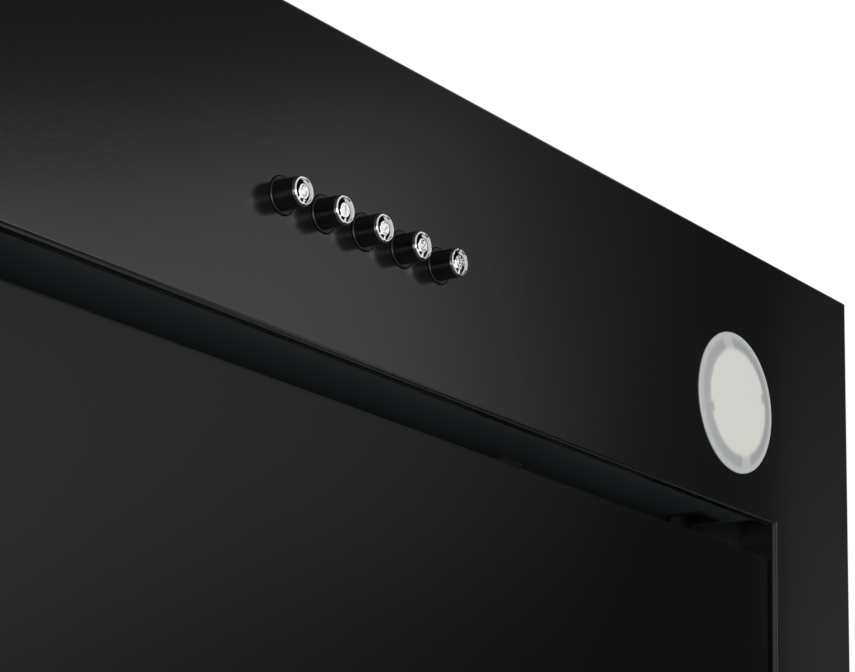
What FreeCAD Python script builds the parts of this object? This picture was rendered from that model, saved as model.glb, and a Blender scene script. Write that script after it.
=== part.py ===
"""Built-in range hood, modelled in millimetres with +Z up and its front towards -Y.

The origin lies on the outer face of the top cover, in the middle of the four fixing holes
that hang the hood in a kitchen cabinet. The fascia plate, which a cook sees from below, is
at the bottom, and air leaves through the duct collar at the top.
"""
import FreeCAD, Part
import math
import os
from types import SimpleNamespace

import Sketcher

PARTS_FOLDER = "parts"
BUTTON_NAMES = ("off", "low", "middle", "high", "light")
SIDES = {"left": -1, "right": 1}

# Name in the sheet, value in millimetres (or a count or degrees), and what it measures
SIZES = [
    ("gauge", "1", "thickness of every folded steel sheet"),
    ("plate_width", "600", "fascia plate, left to right"),
    ("plate_depth", "300", "fascia plate, front to back"),
    ("rim_height", "16", "upturned rim of the fascia plate"),
    ("rim_return", "12", "flat return along the top of the rim"),
    ("bend_radius", "0.9", "outside radius of the bends that show"),
    ("opening_bend", "1.6", "outside radius of the bends round the opening"),
    ("front_strip", "98", "front edge of the plate to the opening"),
    ("side_strip", "56.5", "side edge of the plate to the opening"),
    ("rear_strip", "30", "rear edge of the plate to the opening"),
    ("hem_height", "3.5", "upturned hem along the front and rear of the opening"),
    ("flange_height", "14", "upturned flange at each end of the opening"),
    ("control_setback", "58.4", "front edge of the plate to the line of buttons"),
    ("housing_side_step", "30", "side edge of the plate to the housing"),
    ("housing_edge_step", "19", "front or rear edge of the plate to the housing"),
    ("body_height", "255", "underside of the plate to the top of the housing"),
    ("housing_flange", "12", "folded edges of the housing panels"),
    ("cover_lip", "12", "downturned lip of the top cover"),
    ("fixing_inset_x", "30", "side of the housing to a fixing hole"),
    ("fixing_inset_y", "31", "front or rear of the housing to a fixing hole"),
    ("fixing_hole_radius", "2.75", "fixing hole for a 5 mm screw"),
    ("screw_radius", "1.6", "shank of the sheet metal screws"),
    ("screw_head_radius", "3.5", "head of the sheet metal screws"),
    ("screw_head_height", "2.2", "head of the sheet metal screws"),
    ("screw_length", "6", "shank of the cover screws"),
    ("screw_clearance", "0.1", "radial play round a screw shank"),
    ("cover_screw_inset", "90", "side of the housing to a cover screw"),
    ("slot_front", "12.3", "suction slot in front of the panel"),
    ("slot_rear", "13", "suction slot behind the panel"),
    ("slot_side", "2.5", "gap at each end of the panel"),
    ("panel_recess", "1.5", "panel face above the face of the plate"),
    ("tray_height", "14", "depth of the panel's folded tray"),
    ("tray_corner", "1.4", "corner radius of the panel"),
    ("pivot_setback", "8", "pivot axis in front of the panel's rear edge"),
    ("pivot_radius", "2", "pivot pin of the panel"),
    ("pivot_head_radius", "4", "riveted head of the pivot pin"),
    ("bush_wall", "1.5", "nylon bush of the pivot"),
    ("bush_flange", "1", "flange of the nylon bush"),
    ("running_clearance", "0.06", "radial play of pins, shafts and plungers"),
    ("seat_clearance", "0.05", "radial play of a piece pressed in its seat"),
    ("catch_inset", "18", "end of the panel to the middle of a catch"),
    ("catch_setback", "8", "front edge of the panel to the middle of a catch"),
    ("magnet_width", "14", "catch magnet"),
    ("magnet_height", "10", "catch magnet"),
    ("catch_gap", "0.3", "magnet to strike plate with the panel shut"),
    ("strike_width", "12", "strike plate of a catch"),
    ("filter_lift", "33", "face of the plate to the underside of the filters"),
    ("filter_thickness", "9.5", "grease filter"),
    ("filter_gap", "4", "filters to the front and rear of the opening"),
    ("filter_side_gap", "4", "filters to the ends of the opening"),
    ("filter_split", "2", "gap between the two filters"),
    ("filter_border", "11", "visible border of the filter frame"),
    ("filter_wall", "1.2", "folded aluminium of the filter frame"),
    ("mesh_thickness", "5", "mesh pack in the filter"),
    ("mesh_play", "0.3", "mesh pack in its frame"),
    ("mesh_columns", "12", "diamond openings along the mesh"),
    ("mesh_rows", "8", "diamond openings across the mesh"),
    ("mesh_strand", "3", "strand between two openings"),
    ("rail_lip", "12", "lip of the filter rail over the filter"),
    ("rail_end_gap", "6", "end of the filter rail to the end of the opening"),
    ("tongue_width", "20", "rear tongue of the filter"),
    ("tongue_spacing", "120", "two tongues of one filter"),
    ("tongue_thickness", "2", "rear tongue of the filter"),
    ("tongue_play", "0.5", "tongue in the slot of its rail"),
    ("latch_width", "28", "latch slide of the filter"),
    ("latch_length", "20", "latch slide of the filter"),
    ("latch_thickness", "3", "latch slide of the filter"),
    ("latch_play", "0.2", "latch slide in its keeper"),
    ("latch_nose_width", "12", "nose that enters the front rail"),
    ("latch_nose_reach", "3", "nose past the front rail"),
    ("latch_grip", "9", "finger grip under the latch slide"),
    ("keeper_wall", "1.5", "keeper of the latch slide"),
    ("keeper_length", "9", "keeper of the latch slide"),
    ("button_pitch", "18.5", "push buttons, middle to middle"),
    ("button_radius", "4.5", "barrel of a push button"),
    ("button_reach", "7.3", "barrel below the plate"),
    ("button_stop_radius", "6", "collar that stops the barrel on its bush"),
    ("button_stop_height", "1.4", "collar that stops the barrel on its bush"),
    ("button_shoulder", "9", "face of the plate to the end of the barrel"),
    ("stem_width", "3.4", "square stem of a push button"),
    ("stem_entry", "3", "stem inside the switch body at rest"),
    ("stem_play", "0.15", "stem in the switch body"),
    ("stem_bore", "9", "depth of a stem's hole in the switch body"),
    ("cap_radius", "4.05", "chrome cap of a push button"),
    ("cap_height", "0.8", "chrome cap of a push button"),
    ("cap_bevel", "0.2", "bevel round the chrome cap"),
    ("cap_rim", "0.2", "raised rim of the chrome cap"),
    ("cap_sink", "0.2", "rim down to the flat face that carries the mark"),
    ("cap_face", "2.2", "flat face of the chrome cap"),
    ("cap_fall", "0.35", "face down to the foot of the rim"),
    ("cap_round", "1.6", "rounding round the flat face"),
    ("button_bush_radius", "5.5", "bush in the face of the plate"),
    ("button_bush_gap", "0.4", "groove between the bush and the plate"),
    ("button_bush_lip", "0.5", "bush below the face of the plate"),
    ("button_bush_flange", "7.5", "flange of the bush above the plate"),
    ("button_bush_height", "2", "flange of the bush above the plate"),
    ("switch_width", "114", "switch body"),
    ("switch_depth", "24", "switch body"),
    ("switch_height", "28", "switch body"),
    ("switch_lift", "24", "face of the plate to the switch body"),
    ("switch_edge", "2", "rounded edges of the switch body"),
    ("bracket_depth", "30", "switch bracket, front to back"),
    ("bracket_height", "38", "legs of the switch bracket"),
    ("lamp_inset", "84.9", "side edge of the plate to the middle of a lamp"),
    ("lamp_setback", "59.4", "front edge of the plate to the middle of a lamp"),
    ("lens_radius", "25.4", "lamp lens"),
    ("lens_rim", "23.4", "inside of the flat rim of the lens"),
    ("lens_disc", "19.8", "raised disc of the lens"),
    ("lens_height", "1.2", "raised disc below the plate"),
    ("lens_rim_height", "0.5", "flat rim below the plate"),
    ("lens_edge", "0.25", "bevelled edge of the rim"),
    ("lens_disc_edge", "5", "rounded edge of the raised disc"),
    ("lens_wall", "1", "face of the lens"),
    ("lens_neck_radius", "22.4", "neck of the lens through the plate"),
    ("lens_neck_height", "8", "neck of the lens above the plate's face"),
    ("lens_neck_wall", "3", "neck of the lens"),
    ("lens_neck_slot", "6", "slots that part the neck in two springy halves"),
    ("lens_neck_rib", "1.6", "key rib inside each half of the neck"),
    ("lens_turn", "17", "lens turned in its hole, in degrees"),
    ("lamp_play", "0.3", "neck of the lens in the plate and in the can"),
    ("can_wall", "1.6", "lamp can"),
    ("can_height", "24", "face of the plate to the top of the lamp can"),
    ("can_flange", "26", "radius of the lamp can's foot"),
    ("board_radius", "19.5", "LED board"),
    ("board_thickness", "1.6", "LED board"),
    ("board_lift", "9", "face of the plate to the LED board"),
    ("boss_radius", "12", "heat sink boss behind the LED board"),
    ("blower_y", "-32", "axis of the blower, behind the middle of the hood"),
    ("blower_drop", "109", "top of the housing to the axis of the blower"),
    ("wheel_radius", "65", "blower wheel"),
    ("wheel_half_width", "52", "blower wheel, each side of its disc"),
    ("blade_depth", "11", "blades, radially"),
    ("blade_radius", "9", "curve of the blades"),
    ("blade_thickness", "1.2", "blades"),
    ("blade_count", "32", "blades round the wheel"),
    ("wheel_disc", "2", "disc of the wheel"),
    ("wheel_ring", "3", "end rings of the wheel"),
    ("wheel_ring_depth", "4", "end rings of the wheel, radially"),
    ("hub_radius", "12", "hub of the wheel"),
    ("hub_length", "18", "hub of the wheel"),
    ("scroll_radius", "76", "casing at the cut-off, inside"),
    ("scroll_step", "9", "growth of the casing in a quarter turn"),
    ("scroll_wall", "2", "casing wall"),
    ("scroll_half_width", "62", "casing, each side of its seam"),
    ("tongue_offset", "15", "axis of the blower to the inner wall of its outlet"),
    ("scroll_rise", "79", "axis of the blower to the top of its casing"),
    ("inlet_radius", "52", "air inlet of the casing"),
    ("inlet_lip", "6", "rounded lip of the inlet, radially"),
    ("inlet_lip_height", "4", "rounded lip of the inlet"),
    ("lug_radius", "5", "screw lugs along the casing seam"),
    ("lug_thickness", "5", "screw lugs along the casing seam"),
    ("shaft_radius", "4", "motor shaft"),
    ("shaft_overhang", "2", "shaft past the rear bearing and the hub"),
    ("motor_radius", "43", "motor can"),
    ("motor_start", "20", "middle of the wheel to the motor can"),
    ("motor_edge", "4", "rounded edges of the motor can"),
    ("bearing_radius", "9", "sintered bearing"),
    ("bearing_length", "6", "sintered bearing"),
    ("bearing_boss", "13", "bearing boss at the wheel's end"),
    ("rear_boss", "16", "bearing boss at the bracket's end"),
    ("rear_boss_length", "8", "bearing boss at the bracket's end"),
    ("rotor_space", "5", "clear hole through the motor"),
    ("spider_radius", "30", "plate of the motor bracket"),
    ("spider_thickness", "2", "plate of the motor bracket"),
    ("spider_arm", "14", "width of a bracket arm"),
    ("foot_radius", "6", "foot of a bracket arm"),
    ("foot_circle", "68", "feet of the bracket round the motor axis"),
    ("collar_offset", "57", "axis of the blower to the duct collar"),
    ("collar_radius", "74.5", "duct collar, outside, for a 150 mm duct"),
    ("collar_wall", "2.5", "duct collar"),
    ("collar_height", "45", "duct collar"),
    ("collar_lead", "2", "bevelled end of the duct collar"),
    ("collar_flange", "84", "radius of the collar's flange"),
    ("collar_flange_height", "3", "flange of the duct collar"),
    ("collar_screw_circle", "79.5", "screws of the duct collar"),
    ("flap_ledge", "4", "ledge that the flaps rest on"),
    ("flap_ledge_height", "8", "top of the ledge above the cover"),
    ("flap_gap", "0.7", "flaps to the wall of the collar"),
    ("flap_thickness", "1.5", "flaps"),
    ("flap_rod_radius", "2", "rod of the flaps"),
    ("knuckle_wall", "1.5", "knuckles of the flaps"),
    ("knuckle_length", "20", "knuckles of the flaps"),
    ("knuckle_pitch", "42", "knuckles of one flap"),
    ("knuckle_gap", "0.6", "flap to the knuckles of the other flap"),
    ("transition_wall", "2", "outlet transition"),
    ("transition_flange", "3", "flange of the outlet transition"),
    ("gland_radius", "8", "cable gland through the cover"),
    ("gland_bore", "3.5", "cable gland"),
    ("gland_head", "12", "hexagon head of the cable gland, across the flats"),
    ("gland_head_height", "10", "head of the cable gland"),
    ("gland_inset_x", "70", "side of the housing to the cable gland"),
    ("gland_inset_y", "56", "rear of the housing to the cable gland"),
    ("terminal_width", "60", "terminal box"),
    ("terminal_depth", "44", "terminal box"),
    ("terminal_height", "32", "terminal box"),
    ("terminal_wall", "2", "terminal box"),
    ("driver_depth", "90", "LED driver, front to back"),
    ("driver_height", "54", "LED driver"),
    ("driver_width", "28", "LED driver"),
    ("driver_drop", "60", "top of the housing to the LED driver"),
    ("driver_edge", "3", "rounded edges of the LED driver"),
    ("capacitor_radius", "15", "motor capacitor"),
    ("capacitor_length", "52", "motor capacitor"),
    ("capacitor_drop", "70", "top of the housing to the capacitor's axis"),
    ("clip_width", "16", "strap round the capacitor"),
    ("clip_foot", "12", "feet of the strap on the side panel"),
]


class Size:
    """A length: its value, and the sheet formula that gives the same value."""

    def __init__(self, value, text):
        self.value = value
        self.text = text

    def __add__(self, other):
        other = as_size(other)
        return Size(self.value + other.value, f"({self.text} + {other.text})")

    def __radd__(self, other):
        return as_size(other) + self

    def __sub__(self, other):
        other = as_size(other)
        return Size(self.value - other.value, f"({self.text} - {other.text})")

    def __rsub__(self, other):
        return as_size(other) - self

    def __mul__(self, factor):
        factor = as_size(factor)
        return Size(self.value * factor.value, f"({self.text} * {factor.text})")

    __rmul__ = __mul__

    def __truediv__(self, divisor):
        divisor = as_size(divisor)
        return Size(self.value / divisor.value, f"({self.text} / {divisor.text})")

    def __neg__(self):
        return Size(-self.value, f"(-{self.text})")


def as_size(value):
    """Makes a plain number usable beside the sizes of the sheet."""
    return value if isinstance(value, Size) else Size(float(value), f"({float(value)})")


doc = FreeCAD.newDocument("RangeHood")
sheet = doc.addObject("Spreadsheet::Sheet", "Sizes")
for row, (alias, value, meaning) in enumerate(SIZES, start=1):
    sheet.set(f"A{row}", alias)
    sheet.set(f"B{row}", value)
    sheet.set(f"C{row}", meaning)
    sheet.setAlias(f"B{row}", alias)
doc.recompute()
dim = SimpleNamespace(**{alias: Size(float(value), f"Sizes.{alias}") for alias, value, _ in SIZES})

sub_parts = {}


def bind(thing, name, size):
    """Ties a property to the sheet."""
    thing.setExpression(name, as_size(size).text)


def new_body(label, part=True):
    """An empty body; with part it becomes a node of the assembly."""
    body = doc.addObject("PartDesign::Body", label)
    body.Label = label
    if part:
        sub_parts[label] = body
    return body


def place(thing, x=0, y=0, z=0):
    """Moves a finished piece to its place in the hood."""
    for axis, size in (("x", x), ("y", y), ("z", z)):
        bind(thing, f"Placement.Base.{axis}", size)


def origin_feature(body, role):
    """One of the body's own origin planes or axes."""
    return next(item for item in body.Origin.OriginFeatures if item.Role == role)


def sketch_on(body, plane, offset=0):
    """An empty sketch on an origin plane, moved along the plane's normal."""
    sketch = body.newObject("Sketcher::SketchObject", f"{body.Label}_outline")
    sketch.AttachmentSupport = (origin_feature(body, f"{plane}_Plane"), [""])
    sketch.MapMode = "FlatFace"
    bind(sketch, "AttachmentOffset.Base.z", offset)
    return sketch


def measure(sketch, kind, ends, size):
    """A dimension of the sketch that follows the sheet."""
    index = sketch.addConstraint(Sketcher.Constraint(kind, *ends, as_size(size).value))
    sketch.setExpression(f"Constraints[{index}]", as_size(size).text)


def fix_point(sketch, curve, point, x=None, y=None):
    """Holds a point of a curve at its distances from the sketch's origin."""
    for kind, axis, size in (("DistanceX", -2, x), ("DistanceY", -1, y)):
        if size is None:
            continue
        if not isinstance(size, Size) and size == 0:
            sketch.addConstraint(Sketcher.Constraint("PointOnObject", curve, point, axis))
        else:
            measure(sketch, kind, (-1, 1, curve, point), size)


def polygon(sketch, *corners):
    """A closed outline of straight edges."""
    first = sketch.GeometryCount
    spots = [FreeCAD.Vector(as_size(x).value, as_size(y).value, 0) for x, y in corners]
    for here, there in zip(spots, spots[1:] + spots[:1]):
        sketch.addGeometry(Part.LineSegment(here, there))
    for index, (x, y) in enumerate(corners):
        following = (index + 1) % len(corners)
        joint = Sketcher.Constraint("Coincident", first + index, 2, first + following, 1)
        sketch.addConstraint(joint)
        fix_point(sketch, first + index, 1, x, y)


def rectangle(sketch, x0, y0, x1, y1):
    polygon(sketch, (x0, y0), (x1, y0), (x1, y1), (x0, y1))


def circle(sketch, x, y, radius):
    centre = FreeCAD.Vector(as_size(x).value, as_size(y).value, 0)
    round_edge = Part.Circle(centre, FreeCAD.Vector(0, 0, 1), as_size(radius).value)
    index = sketch.addGeometry(round_edge)
    fix_point(sketch, index, 3, x, y)
    measure(sketch, "Radius", (index,), radius)


def arc(sketch, centre, radius, start, end):
    """A counter-clockwise arc with its centre held; returns its index."""
    middle = FreeCAD.Vector(as_size(centre[0]).value, as_size(centre[1]).value, 0)
    full = Part.Circle(middle, FreeCAD.Vector(0, 0, 1), as_size(radius).value)
    index = sketch.addGeometry(Part.ArcOfCircle(full, math.radians(start), math.radians(end)))
    fix_point(sketch, index, 3, *centre)
    return index


def pad(body, sketch, length, back=False, centred=False):
    """Adds material along the sketch's normal, against it, or to both sides of it."""
    feature = body.newObject("PartDesign::Pad", f"{body.Label}_pad")
    feature.Profile = sketch
    feature.Reversed = back
    if centred:
        feature.SideType = "Symmetric"
    bind(feature, "Length", length)
    return feature


def pocket(body, sketch, length=None, back=False):
    """Cuts along the sketch's normal or against it; without a length, right through."""
    feature = body.newObject("PartDesign::Pocket", f"{body.Label}_pocket")
    feature.Profile = sketch
    feature.Reversed = not back
    if length is None:
        feature.SideType = "Symmetric"
        feature.Type = "ThroughAll"
    else:
        bind(feature, "Length", length)
    return feature


def revolve(body, sketch, axis):
    feature = body.newObject("PartDesign::Revolution", f"{body.Label}_turning")
    feature.Profile = sketch
    feature.ReferenceAxis = (sketch, [axis])
    feature.Angle = 360
    return feature


def turned(body, plane, axis, *corners):
    """A turned piece from half of its section."""
    section = sketch_on(body, plane)
    polygon(section, *corners)
    return revolve(body, section, axis)


def slab(body, x0, y0, x1, y1, bottom, height):
    """A rectangular plate or block that stands on the level called bottom."""
    outline = sketch_on(body, "XY", bottom)
    rectangle(outline, x0, y0, x1, y1)
    return pad(body, outline, height)


def cut_slab(body, x0, y0, x1, y1, bottom, height):
    """A rectangular cut upwards from the level called bottom."""
    outline = sketch_on(body, "XY", bottom)
    rectangle(outline, x0, y0, x1, y1)
    return pocket(body, outline, height)


def drill(body, bottom, height, holes):
    """Round holes along Z, each given by its place and radius."""
    outline = sketch_on(body, "XY", bottom)
    for x, y, radius in holes:
        circle(outline, x, y, radius)
    return pocket(body, outline, height)


def fillet(body, radius, chosen):
    """Rounds those edges of the body so far that the test picks."""
    doc.recompute()
    base = body.Tip
    edges = enumerate(base.Shape.Edges, start=1)
    names = [f"Edge{index}" for index, edge in edges if chosen(edge, base.Shape.BoundBox)]
    feature = body.newObject("PartDesign::Fillet", f"{body.Label}_fillet")
    feature.Base = (base, names)
    bind(feature, "Radius", radius)
    return feature


def near(a, b):
    return abs(a - b) < 1e-6


def is_upright(edge, box):
    """A straight edge that runs along Z over the full height."""
    return near(edge.BoundBox.ZMin, box.ZMin) and near(edge.BoundBox.ZMax, box.ZMax)


def is_inner_upright(edge, box):
    """A straight edge along Z that starts above the floor."""
    upright = near(edge.BoundBox.XLength, 0) and near(edge.BoundBox.YLength, 0)
    return upright and edge.BoundBox.ZMin > box.ZMin + 1e-6


def is_lowest(edge, box):
    return near(edge.BoundBox.ZMax, box.ZMin)


def group(label, pieces):
    """Several equal pieces kept in one node."""
    compound = doc.addObject("Part::Compound", label)
    compound.Label = label
    compound.Links = pieces
    sub_parts[label] = compound


# Levels and places that several pieces share
plate_face = -dim.body_height
plate_top = plate_face + dim.gauge
cover_inside = -dim.gauge
body_wide = dim.plate_width / 2 - dim.housing_side_step
body_deep = dim.plate_depth / 2 - dim.housing_edge_step
open_half = dim.plate_width / 2 - dim.side_strip
open_front = -dim.plate_depth / 2 + dim.front_strip
open_rear = dim.plate_depth / 2 - dim.rear_strip
control_y = -dim.plate_depth / 2 + dim.control_setback
lamp_x = dim.plate_width / 2 - dim.lamp_inset
lamp_y = -dim.plate_depth / 2 + dim.lamp_setback
panel_half = open_half - dim.slot_side
panel_front = open_front + dim.slot_front
panel_rear = open_rear - dim.slot_rear
panel_face = plate_face + dim.panel_recess
panel_floor = panel_face + dim.gauge
pivot_y = panel_rear - dim.pivot_setback
pivot_z = panel_face + dim.tray_height / 2
bush_radius = dim.pivot_radius + dim.running_clearance + dim.bush_wall
catch_x = panel_half - dim.catch_inset
catch_y = panel_front + dim.catch_setback
filter_under = plate_face + dim.filter_lift
filter_top = filter_under + dim.filter_thickness
rail_lip_under = filter_top + dim.tongue_play
filter_width = open_half - dim.filter_side_gap - dim.filter_split / 2
filter_x = dim.filter_split / 2 + filter_width / 2
filter_front = open_front + dim.filter_gap
filter_rear = open_rear - dim.filter_gap
tongue_under = filter_under + dim.filter_thickness / 2 - dim.tongue_thickness / 2
plate_hole = dim.button_bush_radius + dim.button_bush_gap
button_steps = range(-(len(BUTTON_NAMES) // 2), len(BUTTON_NAMES) // 2 + 1)
collar_bore = dim.collar_radius - dim.collar_wall
collar_y = dim.blower_y + dim.collar_offset
gland_x = body_wide - dim.gland_inset_x
gland_y = body_deep - dim.gland_inset_y
cover_screw_x = body_wide - dim.cover_screw_inset
screw_hole = dim.screw_radius + dim.screw_clearance
corner_signs = [(sx, sy) for sx in (-1, 1) for sy in (-1, 1)]


def collar_screw_places():
    """Four screws on the diagonals of the duct collar."""
    reach = dim.collar_screw_circle * math.sqrt(0.5)
    return [(reach * sx, reach * sy) for sx, sy in corner_signs]


def folded_edge(body, plane, offset, edge, way, height, length):
    """Sheet bent up along one edge of the opening, which lies on the way's side of that edge."""
    section = sketch_on(body, plane, offset)
    bend = dim.opening_bend
    centre = (edge - bend * way, plate_face + bend)
    flat, upright = (1, 2) if way > 0 else (2, 1)
    curves = []
    for radius in (bend, bend - dim.gauge):
        curve = arc(section, centre, radius, *((270, 360) if way > 0 else (180, 270)))
        measure(section, "Radius", (curve,), radius)
        fix_point(section, curve, flat, x=centre[0])
        fix_point(section, curve, upright, y=centre[1])
        curves.append(curve)
    top = plate_face + height
    stops = [(edge, top), (edge - dim.gauge * way, top)]
    spots = [FreeCAD.Vector(x.value, y.value, 0) for x, y in stops]
    ends = [section.getPoint(curve, upright) for curve in curves]
    feet = [section.getPoint(curve, flat) for curve in curves]
    leg, lip, back = [section.addGeometry(Part.LineSegment(*pair)) for pair in
                      ((ends[0], spots[0]), (spots[0], spots[1]), (spots[1], ends[1]))]
    foot = section.addGeometry(Part.LineSegment(*feet))
    for pair in ((leg, 1, curves[0], upright), (leg, 2, lip, 1), (lip, 2, back, 1),
                 (back, 2, curves[1], upright), (foot, 1, curves[0], flat), (foot, 2, curves[1], flat)):
        section.addConstraint(Sketcher.Constraint("Coincident", *pair))
    for line, (x, y) in zip((leg, lip), stops):
        fix_point(section, line, 2, x, y)
    pad(body, section, length, centred=True)


def fascia_plate():
    """Folded steel plate: upturned rim with a return, hemmed and flanged opening for the panel."""
    body = new_body("fascia_plate")
    wide = dim.plate_width / 2
    deep = dim.plate_depth / 2
    sheet_wide = wide - dim.gauge
    sheet_deep = deep - dim.gauge
    slab(body, -wide, -deep, wide, deep, plate_face, dim.rim_height)
    cut_slab(body, -sheet_wide, -sheet_deep, sheet_wide, sheet_deep, plate_top, dim.rim_height)
    rim = sketch_on(body, "XY", plate_face + dim.rim_height - dim.gauge)
    rectangle(rim, -wide, -deep, wide, deep)
    inner_wide = wide - dim.rim_return
    inner_deep = deep - dim.rim_return
    rectangle(rim, -inner_wide, -inner_deep, inner_wide, inner_deep)
    pad(body, rim, dim.gauge)
    fillet(body, dim.bend_radius, is_lowest)
    bend = dim.opening_bend
    cut_slab(body, -open_half - bend, open_front - bend, open_half + bend, open_rear + bend,
             plate_face, dim.gauge)
    for edge, way in ((open_front, 1), (open_rear, -1)):
        folded_edge(body, "YZ", 0, edge, way, dim.hem_height, 2 * (open_half + bend))
    middle = (open_front + open_rear) / 2
    for side in SIDES.values():
        folded_edge(body, "XZ", -middle, open_half * side, -side, dim.flange_height,
                    open_rear - open_front + 2 * bend)
    lamp_hole = dim.lens_neck_radius + dim.lamp_play
    holes = [(lamp_x * side, lamp_y, lamp_hole) for side in SIDES.values()]
    holes += [(dim.button_pitch * step, control_y, plate_hole) for step in button_steps]
    drill(body, plate_face, dim.gauge, holes)
    for start in (open_half, -open_half - dim.gauge):
        bush_hole = sketch_on(body, "YZ", start)
        circle(bush_hole, pivot_y, pivot_z, bush_radius + dim.seat_clearance)
        pocket(body, bush_hole, dim.gauge)


def side_panel(name, side):
    """Channel of galvanised sheet, with its flanges behind the front and back panels."""
    body = new_body(f"side_panel_{name}")
    outside = body_wide * side
    inside = (body_wide - dim.gauge) * side
    lip = (body_wide - dim.housing_flange) * side
    deep = body_deep
    outline = sketch_on(body, "XY", plate_top)
    polygon(
        outline,
        (outside, -deep), (outside, deep), (inside, deep), (inside, deep - dim.gauge),
        (lip, deep - dim.gauge), (lip, deep - 2 * dim.gauge), (inside, deep - 2 * dim.gauge),
        (inside, 2 * dim.gauge - deep), (lip, 2 * dim.gauge - deep), (lip, dim.gauge - deep),
        (inside, dim.gauge - deep), (inside, -deep),
    )
    pad(body, outline, cover_inside - plate_top)


def wall_panel(label, side):
    """Front or back of the housing: a flat sheet with a foot flange turned outwards."""
    body = new_body(label)
    half = body_wide - dim.gauge
    outside = body_deep * side
    inside = (body_deep - dim.gauge) * side
    foot = (body_deep + dim.housing_flange) * side
    slab(body, -half, outside, half, inside, plate_top, cover_inside - plate_top)
    slab(body, -half, outside, half, foot, plate_top, dim.gauge)
    cover_screw_holes(body)


def cover_screw_holes(body):
    """Holes along Y for the screws that hold the cover's lips on the walls."""
    holes = sketch_on(body, "XZ")
    for side in SIDES.values():
        circle(holes, cover_screw_x * side, -dim.cover_lip / 2, screw_hole)
    pocket(body, holes)


def top_cover():
    """Galvanised lid with downturned lips, the duct hole and the four fixing holes."""
    body = new_body("top_cover")
    outer_wide = body_wide + dim.gauge
    outer_deep = body_deep + dim.gauge
    slab(body, -outer_wide, -outer_deep, outer_wide, outer_deep, -dim.cover_lip, dim.cover_lip)
    cut_slab(body, -body_wide, -body_deep, body_wide, body_deep, -dim.cover_lip,
             dim.cover_lip - dim.gauge)
    cover_screw_holes(body)
    holes = [(0, collar_y, collar_bore)]
    fixing_x = body_wide - dim.fixing_inset_x
    fixing_y = body_deep - dim.fixing_inset_y
    holes += [(fixing_x * sx, fixing_y * sy, dim.fixing_hole_radius) for sx, sy in corner_signs]
    holes += [(x, collar_y + y, screw_hole) for x, y in collar_screw_places()]
    holes += [(gland_x, gland_y, dim.gland_radius + dim.seat_clearance)]
    drill(body, cover_inside, dim.gauge, holes)


def cover_screws():
    """Four pan head screws, front and back, through the cover's lips."""
    screws = []
    for side in (-1, 1):
        for across in SIDES.values():
            screw = new_body("cover_screw", part=False)
            turned(
                screw, "XY", "V_Axis",
                (0, dim.screw_head_height), (dim.screw_head_radius, dim.screw_head_height),
                (dim.screw_head_radius, 0), (dim.screw_radius, 0),
                (dim.screw_radius, -dim.screw_length), (0, -dim.screw_length),
            )
            turn = 180 if side < 0 else 0
            screw.Placement.Rotation = FreeCAD.Rotation(FreeCAD.Vector(0, 0, 1), turn)
            seat = (body_deep + dim.gauge) * side
            place(screw, cover_screw_x * across, seat, -dim.cover_lip / 2)
            screws.append(screw)
    group("cover_screws", screws)


def filter_rail(label, edge, side):
    """Angle along the opening's flange, with a lip above the filters."""
    body = new_body(label)
    half = open_half - dim.rail_end_gap
    near_face = edge + dim.gauge * side
    far_face = edge + 2 * dim.gauge * side
    lip_end = edge - dim.rail_lip * side
    foot = plate_face + dim.opening_bend
    slab(body, -half, near_face, half, far_face, foot, rail_lip_under - foot)
    slab(body, -half, lip_end, half, far_face, rail_lip_under, dim.gauge)
    return body


def rail_slots(body, width, under, thickness, centres):
    """Slots along Y for the tongues or the latch noses of the filters."""
    slots = sketch_on(body, "XZ")
    for centre in centres:
        half = width / 2 + dim.tongue_play
        bottom = under - dim.tongue_play
        rectangle(slots, centre - half, bottom, centre + half, under + thickness + dim.tongue_play)
    pocket(body, slots)


def filter_rails():
    latch_under = filter_under - dim.latch_play - dim.latch_thickness
    front = filter_rail("filter_rail_front", open_front, -1)
    centres = [filter_x * side for side in SIDES.values()]
    rail_slots(front, dim.latch_nose_width, latch_under, dim.latch_thickness, centres)
    rear = filter_rail("filter_rail_rear", open_rear, 1)
    centres = [filter_x * side + dim.tongue_spacing / 2 * across
               for side in SIDES.values() for across in (-1, 1)]
    rail_slots(rear, dim.tongue_width, tongue_under, dim.tongue_thickness, centres)


def filter_frame(name, side):
    """Folded aluminium frame with a groove for the mesh and two rear tongues."""
    body = new_body(f"filter_frame_{name}")
    left = filter_x * side - filter_width / 2
    right = filter_x * side + filter_width / 2
    slab(body, left, filter_front, right, filter_rear, filter_under, dim.filter_thickness)
    for across in (-1, 1):
        middle = filter_x * side + dim.tongue_spacing / 2 * across
        tongue_end = open_rear + 2 * dim.gauge + dim.tongue_play
        slab(body, middle - dim.tongue_width / 2, filter_rear, middle + dim.tongue_width / 2,
             tongue_end, tongue_under, dim.tongue_thickness)
    border = dim.filter_border
    cut_slab(body, left + border, filter_front + border, right - border, filter_rear - border,
             filter_under, dim.filter_thickness)
    groove_height = dim.mesh_thickness + dim.mesh_play
    groove = filter_under + dim.filter_thickness / 2 - groove_height / 2
    wall = dim.filter_wall
    cut_slab(body, left + wall, filter_front + wall, right - wall, filter_rear - wall,
             groove, groove_height)


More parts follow.
